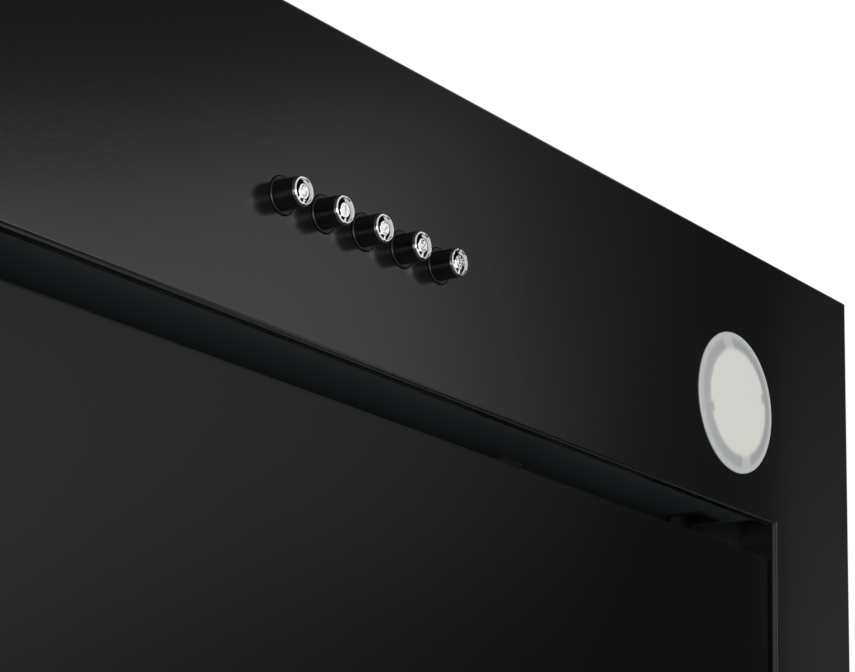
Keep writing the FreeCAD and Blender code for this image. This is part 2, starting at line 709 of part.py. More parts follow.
def filter_mesh(name, side):
    """Expanded aluminium pack with diamond openings."""
    body = new_body(f"filter_mesh_{name}")
    inset = dim.filter_wall + dim.mesh_play
    left = filter_x * side - filter_width / 2
    bottom = filter_under + dim.filter_thickness / 2 - dim.mesh_thickness / 2
    right = left + filter_width
    slab(body, left + inset, filter_front + inset, right - inset, filter_rear - inset,
         bottom, dim.mesh_thickness)
    window_left = left + dim.filter_border
    window_front = filter_front + dim.filter_border
    pitch_x = (filter_width - 2 * dim.filter_border) / dim.mesh_columns
    pitch_y = (filter_rear - filter_front - 2 * dim.filter_border) / dim.mesh_rows
    half_x = (pitch_x - dim.mesh_strand) / 2
    half_y = (pitch_y - dim.mesh_strand) / 2
    column = sketch_on(body, "XY", bottom)
    x = window_left + pitch_x / 2
    for row in range(int(dim.mesh_rows.value)):
        y = window_front + pitch_y * (row + 0.5)
        polygon(column, (x - half_x, y), (x, y - half_y), (x + half_x, y), (x, y + half_y))
    first = pocket(body, column, dim.mesh_thickness)
    doc.recompute()
    pattern = body.newObject("PartDesign::LinearPattern", f"{body.Label}_columns")
    pattern.Originals = [first]
    pattern.Direction = (origin_feature(body, "X_Axis"), [""])
    bind(pattern, "Length", pitch_x * (dim.mesh_columns - 1))
    bind(pattern, "Occurrences", dim.mesh_columns)
    body.Tip = pattern


def filter_latch(name, side):
    """Latch slide under the front border of a filter, with its nose and finger grip."""
    body = new_body(f"filter_latch_{name}")
    x = filter_x * side
    under = filter_under - dim.latch_play - dim.latch_thickness
    front = filter_front + dim.latch_play
    rear = front + dim.latch_length
    nose = open_front - 2 * dim.gauge - dim.latch_nose_reach
    slab(body, x - dim.latch_width / 2, front, x + dim.latch_width / 2, rear, under, dim.latch_thickness)
    slab(body, x - dim.latch_nose_width / 2, nose, x + dim.latch_nose_width / 2, front, under,
         dim.latch_thickness)
    grip = dim.latch_thickness
    slab(body, x - dim.latch_width / 2, rear - grip, x + dim.latch_width / 2, rear,
         under - dim.latch_grip, dim.latch_grip)


def latch_keeper(name, side):
    """Channel under the filter frame that guides the latch slide."""
    body = new_body(f"latch_keeper_{name}")
    x = filter_x * side
    half = dim.latch_width / 2 + dim.latch_play
    height = dim.latch_thickness + 2 * dim.latch_play + dim.keeper_wall
    front = filter_front
    slab(body, x - half - dim.keeper_wall, front, x + half + dim.keeper_wall,
         front + dim.keeper_length, filter_under - height, height)
    cut_slab(body, x - half, front, x + half, front + dim.keeper_length,
             filter_under - height + dim.keeper_wall, height)


def suction_panel():
    """Folded steel tray that leaves a slot for the air all round."""
    body = new_body("suction_panel")
    slab(body, -panel_half, panel_front, panel_half, panel_rear, panel_face, dim.tray_height)
    wall = dim.gauge
    cut_slab(body, wall - panel_half, panel_front + wall, panel_half - wall, panel_rear - wall,
             panel_floor, dim.tray_height)
    fillet(body, dim.tray_corner - wall, is_inner_upright)
    fillet(body, dim.tray_corner, is_upright)
    fillet(body, dim.bend_radius, is_lowest)
    pin_holes = sketch_on(body, "YZ")
    circle(pin_holes, pivot_y, pivot_z, dim.pivot_radius + dim.seat_clearance)
    pocket(body, pin_holes)


def pivot_pins():
    """Riveted pins on the ends of the panel, in nylon bushes in the opening's end flanges."""
    pins = []
    bushes = []
    tip = open_half + dim.gauge + dim.bush_flange
    head = panel_half - dim.gauge - dim.bush_flange
    for side in SIDES.values():
        pin = new_body("panel_pivot_pin", part=False)
        turned(
            pin, "XY", "H_Axis",
            (head * side, 0), (head * side, dim.pivot_head_radius),
            ((head + dim.bush_flange) * side, dim.pivot_head_radius),
            ((head + dim.bush_flange) * side, dim.pivot_radius),
            (tip * side, dim.pivot_radius), (tip * side, 0),
        )
        place(pin, 0, pivot_y, pivot_z)
        pins.append(pin)
        bush = new_body("pivot_bush", part=False)
        bore = dim.pivot_radius + dim.running_clearance
        start = open_half - dim.slot_side / 2
        shoulder = open_half + dim.gauge
        turned(
            bush, "XY", "H_Axis",
            (start * side, bore), (start * side, bush_radius), (shoulder * side, bush_radius),
            (shoulder * side, bush_radius + dim.bush_wall), (tip * side, bush_radius + dim.bush_wall),
            (tip * side, bore),
        )
        place(bush, 0, pivot_y, pivot_z)
        bushes.append(bush)
    group("panel_pivot_pins", pins)
    group("pivot_bushes", bushes)


def panel_catches():
    """Two magnets on brackets above the panel's front corners, and their strike plates."""
    strike_top = panel_face + dim.tray_height + dim.gauge
    magnet_under = strike_top + dim.catch_gap
    arm_under = magnet_under + dim.magnet_height
    leg_foot = plate_face + dim.flange_height + dim.gauge
    brackets = []
    magnets = []
    strikes = []
    for side in SIDES.values():
        x = catch_x * side
        half = dim.magnet_width / 2
        bracket = new_body("magnet_bracket", part=False)
        rail_face = open_front - dim.gauge
        slab(bracket, x - half, rail_face, x + half, catch_y + half, arm_under, dim.gauge)
        slab(bracket, x - half, rail_face, x + half, open_front, leg_foot, arm_under - leg_foot)
        brackets.append(bracket)
        magnet = new_body("catch_magnet", part=False)
        slab(magnet, x - half, catch_y - half, x + half, catch_y + half, magnet_under,
             dim.magnet_height)
        fillet(magnet, dim.gauge, is_upright)
        magnets.append(magnet)
        strike = new_body("strike_plate", part=False)
        half = dim.strike_width / 2
        slab(strike, x - half, catch_y - half, x + half, catch_y + half, panel_floor,
             strike_top - panel_floor)
        cut_slab(strike, x - half, catch_y - half + dim.gauge, x + half, catch_y + half - dim.gauge,
                 panel_floor, strike_top - panel_floor - dim.gauge)
        strikes.append(strike)
    group("magnet_brackets", brackets)
    group("catch_magnets", magnets)
    group("strike_plates", strikes)


def lamp(name, side):
    """LED downlight: moulded lens under the plate, can above it, board on a heat sink boss."""
    lens = new_body(f"lamp_lens_{name}")
    neck_inside = dim.lens_neck_radius - dim.lens_neck_wall
    lens_inside = dim.lens_wall - dim.lens_height
    turned(
        lens, "XZ", "V_Axis",
        (0, -dim.lens_height), (dim.lens_disc, -dim.lens_height), (dim.lens_rim, -dim.lens_rim_height),
        (dim.lens_radius - dim.lens_edge, -dim.lens_rim_height),
        (dim.lens_radius, dim.lens_edge - dim.lens_rim_height), (dim.lens_radius, 0),
        (dim.lens_neck_radius, 0), (dim.lens_neck_radius, dim.lens_neck_height),
        (neck_inside, dim.lens_neck_height), (neck_inside, lens_inside), (0, lens_inside),
    )
    fillet(lens, dim.lens_disc_edge, is_lowest)
    half_slot = dim.lens_neck_slot / 2
    cut_slab(lens, -half_slot, -dim.lens_radius, half_slot, dim.lens_radius, 0, dim.lens_neck_height)
    rib = dim.lens_neck_rib
    for end in SIDES.values():
        slab(lens, (neck_inside - rib) * end, -rib, (neck_inside + rib) * end, rib, lens_inside,
             dim.lens_neck_height - lens_inside)
    lens.Placement.Rotation = FreeCAD.Rotation(FreeCAD.Vector(0, 0, -side), dim.lens_turn.value)
    bind(lens, "Placement.Rotation.Angle", dim.lens_turn)
    can = new_body(f"lamp_can_{name}")
    can_inside = dim.lens_neck_radius + dim.lamp_play
    can_outside = can_inside + dim.can_wall
    ceiling = dim.can_height - dim.can_wall
    board_top = dim.board_lift + dim.board_thickness
    turned(
        can, "XZ", "V_Axis",
        (can_inside, dim.gauge), (dim.can_flange, dim.gauge), (dim.can_flange, dim.gauge + dim.can_wall),
        (can_outside, dim.gauge + dim.can_wall), (can_outside, dim.can_height), (0, dim.can_height),
        (0, board_top), (dim.boss_radius, board_top), (dim.boss_radius, ceiling),
        (can_inside, ceiling),
    )
    board = new_body(f"led_board_{name}")
    turned(
        board, "XZ", "V_Axis",
        (0, dim.board_lift), (dim.board_radius, dim.board_lift), (dim.board_radius, board_top),
        (0, board_top),
    )
    for piece in (lens, can, board):
        place(piece, lamp_x * side, lamp_y, plate_face)


def switch_unit():
    """Switch body in a bracket above the plate, with a square hole for each stem."""
    bracket = new_body("switch_bracket")
    half = dim.switch_width / 2
    outer = half + dim.gauge
    front = control_y - dim.bracket_depth / 2
    rear = control_y + dim.bracket_depth / 2
    slab(bracket, -outer, front, outer, rear, plate_top, dim.bracket_height)
    cut_slab(bracket, -half, front, half, rear, plate_top + dim.gauge, dim.bracket_height)
    drill(bracket, plate_top, dim.gauge,
          [(dim.button_pitch * step, control_y, plate_hole) for step in button_steps])
    switch = new_body("switch_body")
    under = plate_face + dim.switch_lift
    slab(switch, -half, control_y - dim.switch_depth / 2, half, control_y + dim.switch_depth / 2,
         under, dim.switch_height)
    fillet(switch, dim.switch_edge,
           lambda edge, box: edge.Length > 100 and near(edge.BoundBox.ZMin, box.ZMax))
    bores = sketch_on(switch, "XY", under)
    reach = dim.stem_width / 2 + dim.stem_play
    for step in button_steps:
        x = dim.button_pitch * step
        rectangle(bores, x - reach, control_y - reach, x + reach, control_y + reach)
    pocket(switch, bores, dim.stem_bore)


def push_buttons():
    """Five plungers: barrel with stop collar and square stem, chrome cap, and a bush each."""
    bushes = []
    stop_under = 2 * dim.gauge + dim.button_bush_height
    stop_top = stop_under + dim.button_stop_height
    for step, name in zip(button_steps, BUTTON_NAMES):
        barrel = new_body(f"button_barrel_{name}")
        turned(
            barrel, "XZ", "V_Axis",
            (0, -dim.button_reach), (dim.button_radius, -dim.button_reach),
            (dim.button_radius, stop_under), (dim.button_stop_radius, stop_under),
            (dim.button_stop_radius, stop_top), (dim.button_radius, stop_top),
            (dim.button_radius, dim.button_shoulder), (0, dim.button_shoulder),
        )
        half = dim.stem_width / 2
        stem_top = dim.switch_lift + dim.stem_entry
        slab(barrel, -half, -half, half, half, dim.button_shoulder, stem_top - dim.button_shoulder)
        cap = new_body(f"button_cap_{name}")
        face = dim.button_reach + dim.cap_height
        rim = dim.cap_radius - dim.cap_bevel
        rim_inside = rim - dim.cap_rim
        level = dim.cap_sink - face
        turned(
            cap, "XZ", "V_Axis",
            (0, level), (dim.cap_face, level), (rim_inside, level + dim.cap_fall), (rim_inside, -face),
            (rim, -face), (dim.cap_radius, dim.cap_bevel - face),
            (dim.cap_radius, -dim.button_reach), (0, -dim.button_reach),
        )
        fillet(cap, dim.cap_round, lambda edge, box: near(edge.BoundBox.ZMax, level.value)
               and edge.BoundBox.XMax < rim_inside.value)
        bush = new_body("button_bush", part=False)
        bore = dim.button_radius + dim.running_clearance
        lip = dim.button_bush_lip
        turned(
            bush, "XZ", "V_Axis",
            (bore, -lip), (dim.button_bush_radius - lip / 2, -lip), (dim.button_bush_radius, -lip / 2),
            (dim.button_bush_radius, 2 * dim.gauge),
            (dim.button_bush_flange, 2 * dim.gauge), (dim.button_bush_flange, stop_under),
            (bore, stop_under),
        )
        bushes.append(bush)
        for piece in (barrel, cap, bush):
            place(piece, dim.button_pitch * step, control_y, plate_face)
    group("button_bushes", bushes)


def volute(sketch, grow, rise):
    """Spiral casing outline of three tangent arcs, each a step larger, and a straight outlet."""
    half = dim.scroll_step / 2
    inner_wall = dim.tongue_offset - grow
    first_radius = dim.scroll_radius + grow
    last_radius = first_radius + 2 * dim.scroll_step
    lean = math.degrees(math.acos((inner_wall + half).value / first_radius.value))
    upper = arc(sketch, (-half, -half), first_radius, lean, 180)
    lower = arc(sketch, (half, -half), first_radius + dim.scroll_step, 180, 270)
    last = arc(sketch, (half, half), last_radius, 270, 360)
    measure(sketch, "Radius", (upper,), first_radius)
    fix_point(sketch, upper, 1, x=inner_wall)
    sketch.addConstraint(Sketcher.Constraint("Horizontal", upper, 2, upper, 3))
    sketch.addConstraint(Sketcher.Constraint("Coincident", upper, 2, lower, 1))
    sketch.addConstraint(Sketcher.Constraint("Vertical", lower, 2, lower, 3))
    sketch.addConstraint(Sketcher.Constraint("Coincident", lower, 2, last, 1))
    sketch.addConstraint(Sketcher.Constraint("Horizontal", last, 2, last, 3))
    height = as_size(rise).value
    outside = (half + last_radius).value
    inside = inner_wall.value
    tongue = first_radius.value * math.sin(math.radians(lean)) - half.value
    corners = [(outside, half.value), (outside, height), (inside, height), (inside, tongue)]
    spots = [FreeCAD.Vector(x, y, 0) for x, y in corners]
    walls = [sketch.addGeometry(Part.LineSegment(a, b)) for a, b in zip(spots, spots[1:])]
    for earlier, later in zip([last] + walls, walls + [upper]):
        sketch.addConstraint(Sketcher.Constraint("Coincident", earlier, 2, later, 1))
    for wall, direction in zip(walls, ("Vertical", "Horizontal", "Vertical")):
        sketch.addConstraint(Sketcher.Constraint(direction, wall))
    fix_point(sketch, walls[0], 2, y=rise)


def scroll_half(name, side):
    """One moulded half of the blower casing, with a rounded inlet and lugs along the seam."""
    body = new_body(f"blower_casing_{name}")
    back = side < 0
    wall = dim.scroll_wall
    outer = sketch_on(body, "YZ")
    volute(outer, wall, dim.scroll_rise)
    pad(body, outer, dim.scroll_half_width, back)
    half = dim.scroll_step / 2
    stand = wall + dim.lug_radius / 2
    diagonal = (dim.scroll_radius + stand) * math.sqrt(0.5)
    lug_places = [
        (-half - diagonal, diagonal - half),
        (half, -half - dim.scroll_radius - dim.scroll_step - stand),
        (half + dim.scroll_radius + 2 * dim.scroll_step + stand, half),
    ]
    lugs = sketch_on(body, "YZ")
    for y, z in lug_places:
        circle(lugs, y, z, dim.lug_radius)
    pad(body, lugs, dim.lug_thickness, back)
    lip = sketch_on(body, "YZ", dim.scroll_half_width * side)
    circle(lip, 0, 0, dim.inlet_radius + dim.inlet_lip)
    pad(body, lip, dim.inlet_lip_height, back)
    inner = sketch_on(body, "YZ")
    volute(inner, 0, dim.scroll_rise + wall)
    pocket(body, inner, dim.scroll_half_width - wall, back)
    inlet = sketch_on(body, "YZ")
    circle(inlet, 0, 0, dim.inlet_radius)
    pocket(body, inlet, dim.scroll_half_width + dim.inlet_lip_height, back)
    screw_holes = sketch_on(body, "YZ")
    for y, z in lug_places:
        circle(screw_holes, y, z, screw_hole)
    pocket(body, screw_holes, dim.lug_thickness, back)
    mouth = (dim.scroll_half_width + dim.inlet_lip_height).value

    def is_mouth(edge, box):
        flat = near(edge.BoundBox.XMin, edge.BoundBox.XMax)
        return flat and near(abs(edge.BoundBox.XMin), mouth) and edge.BoundBox.YLength > 1

    fillet(body, dim.inlet_lip_height / 2, is_mouth)
    place(body, 0, dim.blower_y, -dim.blower_drop)


def blade_outline(sketch):
    """A forward curved blade: two concentric arcs closed by lines that point at their centre."""
    middle_radius = dim.wheel_radius - dim.wheel_ring_depth / 4 - dim.blade_depth / 2
    outer = dim.blade_radius
    inner = dim.blade_radius - dim.blade_thickness
    reach = dim.blade_depth / 2
    angle = math.degrees(math.asin(reach.value / outer.value))
    centre = (dim.blade_radius, middle_radius)
    back = arc(sketch, centre, outer, 180 - angle, 180 + angle)
    face = arc(sketch, centre, inner, 180 - angle, 180 + angle)
    measure(sketch, "Radius", (back,), outer)
    measure(sketch, "Radius", (face,), inner)
    fix_point(sketch, back, 1, y=middle_radius + reach)
    fix_point(sketch, back, 2, y=middle_radius - reach)
    for point in (1, 2):
        ends = [sketch.getPoint(curve, point) for curve in (back, face)]
        edge = sketch.addGeometry(Part.LineSegment(*ends))
        sketch.addConstraint(Sketcher.Constraint("Coincident", edge, 1, back, point))
        sketch.addConstraint(Sketcher.Constraint("Coincident", edge, 2, face, point))
        sketch.addConstraint(Sketcher.Constraint("PointOnObject", back, 3, edge))


def blower_wheel():
    """Double inlet wheel: disc, hub, end rings and forward curved blades moulded together."""
    body = new_body("blower_wheel")
    half = dim.wheel_half_width
    bore = dim.shaft_radius + dim.seat_clearance
    disc = dim.wheel_disc / 2
    hub = dim.hub_length / 2
    turned(
        body, "XY", "H_Axis",
        (-hub, bore), (-hub, dim.hub_radius), (-disc, dim.hub_radius), (-disc, dim.wheel_radius),
        (disc, dim.wheel_radius), (disc, dim.hub_radius), (hub, dim.hub_radius), (hub, bore),
    )
    blade = sketch_on(body, "YZ")
    blade_outline(blade)
    first = pad(body, blade, 2 * half, centred=True)
    doc.recompute()
    pattern = body.newObject("PartDesign::PolarPattern", "blower_wheel_blades")
    pattern.Originals = [first]
    pattern.Axis = (origin_feature(body, "X_Axis"), [""])
    pattern.Angle = 360
    bind(pattern, "Occurrences", dim.blade_count)
    body.Tip = pattern
    for start in (-half, half - dim.wheel_ring):
        ring = sketch_on(body, "YZ", start)
        circle(ring, 0, 0, dim.wheel_radius)
        circle(ring, 0, 0, dim.wheel_radius - dim.wheel_ring_depth)
        pad(body, ring, dim.wheel_ring)
    place(body, 0, dim.blower_y, -dim.blower_drop)


def motor():
    """Motor can with bearing bosses, its shaft and bearings, and a three armed bracket."""
    bracket_face = dim.scroll_half_width + dim.inlet_lip_height
    front = dim.motor_start - dim.bearing_length
    rear = bracket_face + dim.rear_boss_length
    seat = dim.bearing_radius + dim.seat_clearance
    can = new_body("motor_body")
    turned(
        can, "XY", "H_Axis",
        (front, seat), (front, dim.bearing_boss), (dim.motor_start, dim.bearing_boss),
        (dim.motor_start, dim.motor_radius), (bracket_face, dim.motor_radius),
        (bracket_face, dim.rear_boss), (rear, dim.rear_boss), (rear, seat),
        (rear - dim.bearing_length, seat), (rear - dim.bearing_length, dim.rotor_space),
        (dim.motor_start, dim.rotor_space), (dim.motor_start, seat),
    )
    widest = (dim.motor_radius * 2).value
    fillet(can, dim.motor_edge, lambda edge, box: near(edge.BoundBox.ZLength, widest))
    shaft = new_body("motor_shaft")
    start = -dim.hub_length / 2 - dim.shaft_overhang
    end = rear + dim.shaft_overhang
    turned(shaft, "XY", "H_Axis", (start, 0), (start, dim.shaft_radius),
           (end, dim.shaft_radius), (end, 0))
    bearings = []
    for left in (front, rear - dim.bearing_length):
        bearing = new_body("motor_bearing", part=False)
        bore = dim.shaft_radius + dim.running_clearance
        right = left + dim.bearing_length
        turned(bearing, "XY", "H_Axis", (left, bore), (left, dim.bearing_radius),
               (right, dim.bearing_radius), (right, bore))
        place(bearing, 0, dim.blower_y, -dim.blower_drop)
        bearings.append(bearing)
    group("motor_bearings", bearings)
    bracket = new_body("motor_bracket")
    plate = sketch_on(bracket, "YZ", bracket_face)
    circle(plate, 0, 0, dim.spider_radius)
    pad(bracket, plate, dim.spider_thickness)
    arm = sketch_on(bracket, "YZ", bracket_face)
    half = dim.spider_arm / 2
    rectangle(arm, -half, dim.rear_boss + half, half, dim.foot_circle)
    limb = pad(bracket, arm, dim.spider_thickness)
    foot = sketch_on(bracket, "YZ", dim.scroll_half_width)
    circle(foot, 0, dim.foot_circle, dim.foot_radius)
    toe = pad(bracket, foot, dim.inlet_lip_height + dim.spider_thickness)
    doc.recompute()
    pattern = bracket.newObject("PartDesign::PolarPattern", "motor_bracket_arms")
    pattern.Originals = [limb, toe]
    pattern.Axis = (origin_feature(bracket, "X_Axis"), [""])
    pattern.Angle = 360
    pattern.Occurrences = 3
    bracket.Tip = pattern
    boss_hole = sketch_on(bracket, "YZ", bracket_face)
    circle(boss_hole, 0, 0, dim.rear_boss + dim.seat_clearance)
    pocket(bracket, boss_hole, dim.spider_thickness)
    for piece in (can, shaft, bracket):
        place(piece, 0, dim.blower_y, -dim.blower_drop)


def loft_section(body, level, grow, square):
    """Square mouth over the casing's outlet, or the round mouth under the cover."""
    section = sketch_on(body, "XY", level)
    if square:
        half = dim.scroll_half_width - dim.scroll_wall + grow
        front = dim.blower_y + dim.tongue_offset - grow
        rear = dim.blower_y + dim.scroll_step / 2 + dim.scroll_radius + 2 * dim.scroll_step + grow
        rectangle(section, -half, front, half, rear)
    else:
        circle(section, 0, collar_y, collar_bore - dim.flap_ledge + grow)
    return section


def outlet_transition():
    """Moulded duct from the casing's square outlet to the round hole of the cover."""
    body = new_body("outlet_transition")
    lower = dim.scroll_rise - dim.blower_drop
    for kind, grow in (("Additive", dim.transition_wall), ("Subtractive", as_size(0))):
        mouth = loft_section(body, lower, grow, True)
        loft = body.newObject(f"PartDesign::{kind}Loft", f"outlet_transition_{kind}")
        loft.Profile = mouth
        loft.Sections = [loft_section(body, cover_inside, grow, False)]
        loft.Ruled = True
        if kind == "Additive":
            flange = sketch_on(body, "XY", cover_inside - dim.transition_flange)
            circle(flange, 0, collar_y, dim.collar_flange)
            pad(body, flange, dim.transition_flange)
    drill(body, cover_inside - dim.transition_flange, dim.transition_flange,
          [(x, collar_y + y, screw_hole) for x, y in collar_screw_places()])


def duct_collar():
    """Moulded spigot for a duct, with a ledge for the flaps and holes for their rod."""
    body = new_body("duct_collar")
    ledge = collar_bore - dim.flap_ledge
    turned(
        body, "XZ", "V_Axis",
        (ledge, 0), (dim.collar_flange, 0), (dim.collar_flange, dim.collar_flange_height),
        (dim.collar_radius, dim.collar_flange_height),
        (dim.collar_radius, dim.collar_height - dim.collar_lead),
        (dim.collar_radius - dim.collar_lead / 2, dim.collar_height),
        (collar_bore, dim.collar_height), (collar_bore, dim.flap_ledge_height),
        (ledge, dim.flap_ledge_height),
    )
    drill(body, 0, dim.collar_flange_height,
          [(x, y, screw_hole) for x, y in collar_screw_places()])
    rod_hole = sketch_on(body, "YZ")
    rod_level = dim.flap_ledge_height + dim.flap_thickness / 2
    circle(rod_hole, 0, rod_level, dim.flap_rod_radius + dim.seat_clearance)
    pocket(body, rod_hole)
    rod = new_body("flap_rod")
    end = dim.collar_radius
    turned(rod, "XY", "H_Axis", (-end, 0), (-end, dim.flap_rod_radius),
           (end, dim.flap_rod_radius), (end, 0))
    place(rod, 0, collar_y, rod_level)
    place(body, 0, collar_y, 0)
    for label, side in (("flap_front", -1), ("flap_rear", 1)):
        backdraft_flap(label, side, rod_level)
    screws = []
    for x, y in collar_screw_places():
        screw = new_body("collar_screw", part=False)
        top = dim.collar_flange_height + dim.screw_head_height
        end = cover_inside - dim.transition_flange - dim.gauge
        turned(
            screw, "XZ", "V_Axis",
            (0, top), (dim.screw_head_radius, top), (dim.screw_head_radius, dim.collar_flange_height),
            (dim.screw_radius, dim.collar_flange_height), (dim.screw_radius, end), (0, end),
        )
        place(screw, x, collar_y + y, 0)
        screws.append(screw)
    group("collar_screws", screws)


def backdraft_flap(label, side, rod_level):
    """Half disc that hangs on the rod by two knuckles and falls shut on the ledge."""
    body = new_body(label)
    knuckle = dim.flap_rod_radius + dim.running_clearance + dim.knuckle_wall
    edge = knuckle + dim.knuckle_gap
    under = -dim.flap_thickness / 2
    disc = sketch_on(body, "XY", under)
    circle(disc, 0, 0, collar_bore - dim.flap_gap)
    pad(body, disc, dim.flap_thickness)
    beyond = collar_bore
    cut_slab(body, -beyond, edge * side, beyond, -beyond * side, under, dim.flap_thickness)
    for step in (-1, 1):
        middle = dim.knuckle_pitch * step + (dim.knuckle_length / 2 + dim.knuckle_gap / 2) * side
        start = middle - dim.knuckle_length / 2
        web = sketch_on(body, "XY", under)
        rectangle(web, start, 0, start + dim.knuckle_length, edge * side)
        pad(body, web, dim.flap_thickness)
        tube = sketch_on(body, "YZ", start)
        circle(tube, 0, 0, knuckle)
        pad(body, tube, dim.knuckle_length)
    bore = sketch_on(body, "YZ")
    circle(bore, 0, 0, dim.flap_rod_radius + dim.running_clearance)
    pocket(body, bore)
    place(body, 0, collar_y, rod_level)


def capacitor_clip(inside):
    """Sheet strap round the capacitor, with two feet on the side panel."""
    body = new_body("capacitor_clip")
    hold = dim.capacitor_radius + dim.seat_clearance
    outer = hold + dim.gauge
    reach = outer + dim.clip_foot
    axis = dim.capacitor_radius
    strap = sketch_on(body, "XZ")
    circle(strap, axis, 0, outer)
    pad(body, strap, dim.clip_width, centred=True)
    legs = sketch_on(body, "XZ")
    rectangle(legs, 0, -outer, axis, outer)
    pad(body, legs, dim.clip_width, centred=True)
    feet = sketch_on(body, "XZ")
    rectangle(feet, 0, -reach, dim.gauge, reach)
    pad(body, feet, dim.clip_width, centred=True)
    for bore in ("round", "square"):
        inner = sketch_on(body, "XZ")
        if bore == "round":
            circle(inner, axis, 0, hold)
        else:
            rectangle(inner, -outer, -hold, axis, hold)
        pocket(body, inner)
    place(body, -inside, 0, -dim.capacitor_drop)


def electrics():
    """LED driver and capacitor on the side panels, terminal box and gland under the cover."""
    inside = body_wide - dim.gauge
    driver = new_body("led_driver")
    slab(driver, inside - dim.driver_width, -dim.driver_depth / 2, inside, dim.driver_depth / 2,
         -dim.driver_drop - dim.driver_height, dim.driver_height)
    wall = inside.value
    fillet(driver, dim.driver_edge, lambda edge, box: edge.BoundBox.XMax < wall - 1)
    capacitor = new_body("motor_capacitor")
    turned(
        capacitor, "XY", "V_Axis",
        (0, -dim.capacitor_length / 2), (dim.capacitor_radius, -dim.capacitor_length / 2),
        (dim.capacitor_radius, dim.capacitor_length / 2), (0, dim.capacitor_length / 2),
    )
    fillet(capacitor, dim.gauge, lambda edge, box: near(edge.BoundBox.YMin, box.YMax))
    place(capacitor, dim.capacitor_radius - inside, 0, -dim.capacitor_drop)
    capacitor_clip(inside)
    box = new_body("terminal_box")
    half_x = dim.terminal_width / 2
    half_y = dim.terminal_depth / 2
    under = cover_inside - dim.terminal_height
    wall = dim.terminal_wall
    slab(box, -half_x, -half_y, half_x, half_y, under, dim.terminal_height)
    fillet(box, dim.terminal_wall, is_upright)
    cut_slab(box, wall - half_x, wall - half_y, half_x - wall, half_y - wall, under + wall,
             dim.terminal_height)
    place(box, gland_x, gland_y, 0)
    gland = new_body("cable_gland")
    head = sketch_on(gland, "XY", 0)
    corner = dim.gland_head * (1 / math.sqrt(3))
    flat = dim.gland_head
    reach = corner * 2
    polygon(head, (reach, 0), (corner, flat), (-corner, flat), (-reach, 0), (-corner, -flat),
            (corner, -flat))
    pad(gland, head, dim.gland_head_height)
    neck = sketch_on(gland, "XY", cover_inside - dim.gland_head_height)
    circle(neck, 0, 0, dim.gland_radius)
    pad(gland, neck, dim.gland_head_height + dim.gauge)
    drill(gland, cover_inside - dim.gland_head_height, 3 * dim.gland_head_height,
          [(0, 0, dim.gland_bore)])
    place(gland, gland_x, gland_y, 0)


def build_all():
    fascia_plate()
    for name, side in SIDES.items():
        side_panel(name, side)
    wall_panel("front_panel", -1)
    wall_panel("back_panel", 1)
    top_cover()
    cover_screws()
    filter_rails()
    for name, side in SIDES.items():
        filter_frame(name, side)
        filter_mesh(name, side)
        filter_latch(name, side)
        latch_keeper(name, side)
        lamp(name, side)
        scroll_half(name, side)
    suction_panel()
    pivot_pins()
    panel_catches()
    switch_unit()
    push_buttons()
    blower_wheel()
    motor()
    outlet_transition()
    duct_collar()
    electrics()
    doc.recompute()


def check_and_write():
    """Stops on any failed feature or bad shape, and then writes one file for each piece."""
    for item in doc.Objects:
        if "Invalid" in item.State or "Error" in item.State:
            raise RuntimeError(f"{item.Label} failed: {item.State}")
    for label, item in sub_parts.items():
        if item.Shape.isNull() or not item.Shape.isValid():
            raise RuntimeError(f"{label} has a bad shape")
    os.makedirs(PARTS_FOLDER, exist_ok=True)
    for label, item in sub_parts.items():
        item.Shape.exportStep(os.path.join(PARTS_FOLDER, f"{label}.step"))
    print(f"{len(sub_parts)} sub-parts written")


build_all()
check_and_write()
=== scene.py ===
import math

import bmesh
import bpy
from mathutils import Matrix, Vector


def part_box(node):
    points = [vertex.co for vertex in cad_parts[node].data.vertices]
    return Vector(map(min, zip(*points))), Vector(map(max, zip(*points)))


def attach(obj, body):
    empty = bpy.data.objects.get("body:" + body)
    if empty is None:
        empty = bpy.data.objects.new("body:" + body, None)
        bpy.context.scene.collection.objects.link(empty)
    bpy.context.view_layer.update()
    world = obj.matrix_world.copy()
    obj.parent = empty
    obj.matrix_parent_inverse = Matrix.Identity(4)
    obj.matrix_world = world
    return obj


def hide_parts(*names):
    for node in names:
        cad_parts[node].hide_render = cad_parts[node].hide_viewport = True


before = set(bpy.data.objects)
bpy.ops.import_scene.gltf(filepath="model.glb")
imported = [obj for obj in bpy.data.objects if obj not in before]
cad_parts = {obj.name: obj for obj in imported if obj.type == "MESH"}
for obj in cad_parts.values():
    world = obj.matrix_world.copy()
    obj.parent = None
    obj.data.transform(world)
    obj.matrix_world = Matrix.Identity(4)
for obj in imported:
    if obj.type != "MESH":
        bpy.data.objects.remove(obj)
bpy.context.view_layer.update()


# Fascia plate: the folded steel sheet that the cook looks up at, with the buttons, the lamps and
# the opening. It is powder coated after folding, and fixed under the feet of the housing's walls.
def linear(code):
    """Turns an sRGB hex colour into the linear colour that a shader takes."""
    parts = [int(code[i:i + 2], 16) / 255 for i in (1, 3, 5)]
    return tuple(p / 12.92 if p <= 0.04045 else ((p + 0.055) / 1.055) ** 2.4 for p in parts) + (1.0,)


def add(tree, kind, inputs=None, **settings):
    """Adds one node with its settings; an input is a plain value or another node's output."""
    new = tree.nodes.new(kind)
    for name, value in settings.items():
        setattr(new, name, value)
    for name, value in (inputs or {}).items():
        if isinstance(value, bpy.types.NodeSocket):
            tree.links.new(value, new.inputs[name])
        else:
            new.inputs[name].default_value = value
    return new


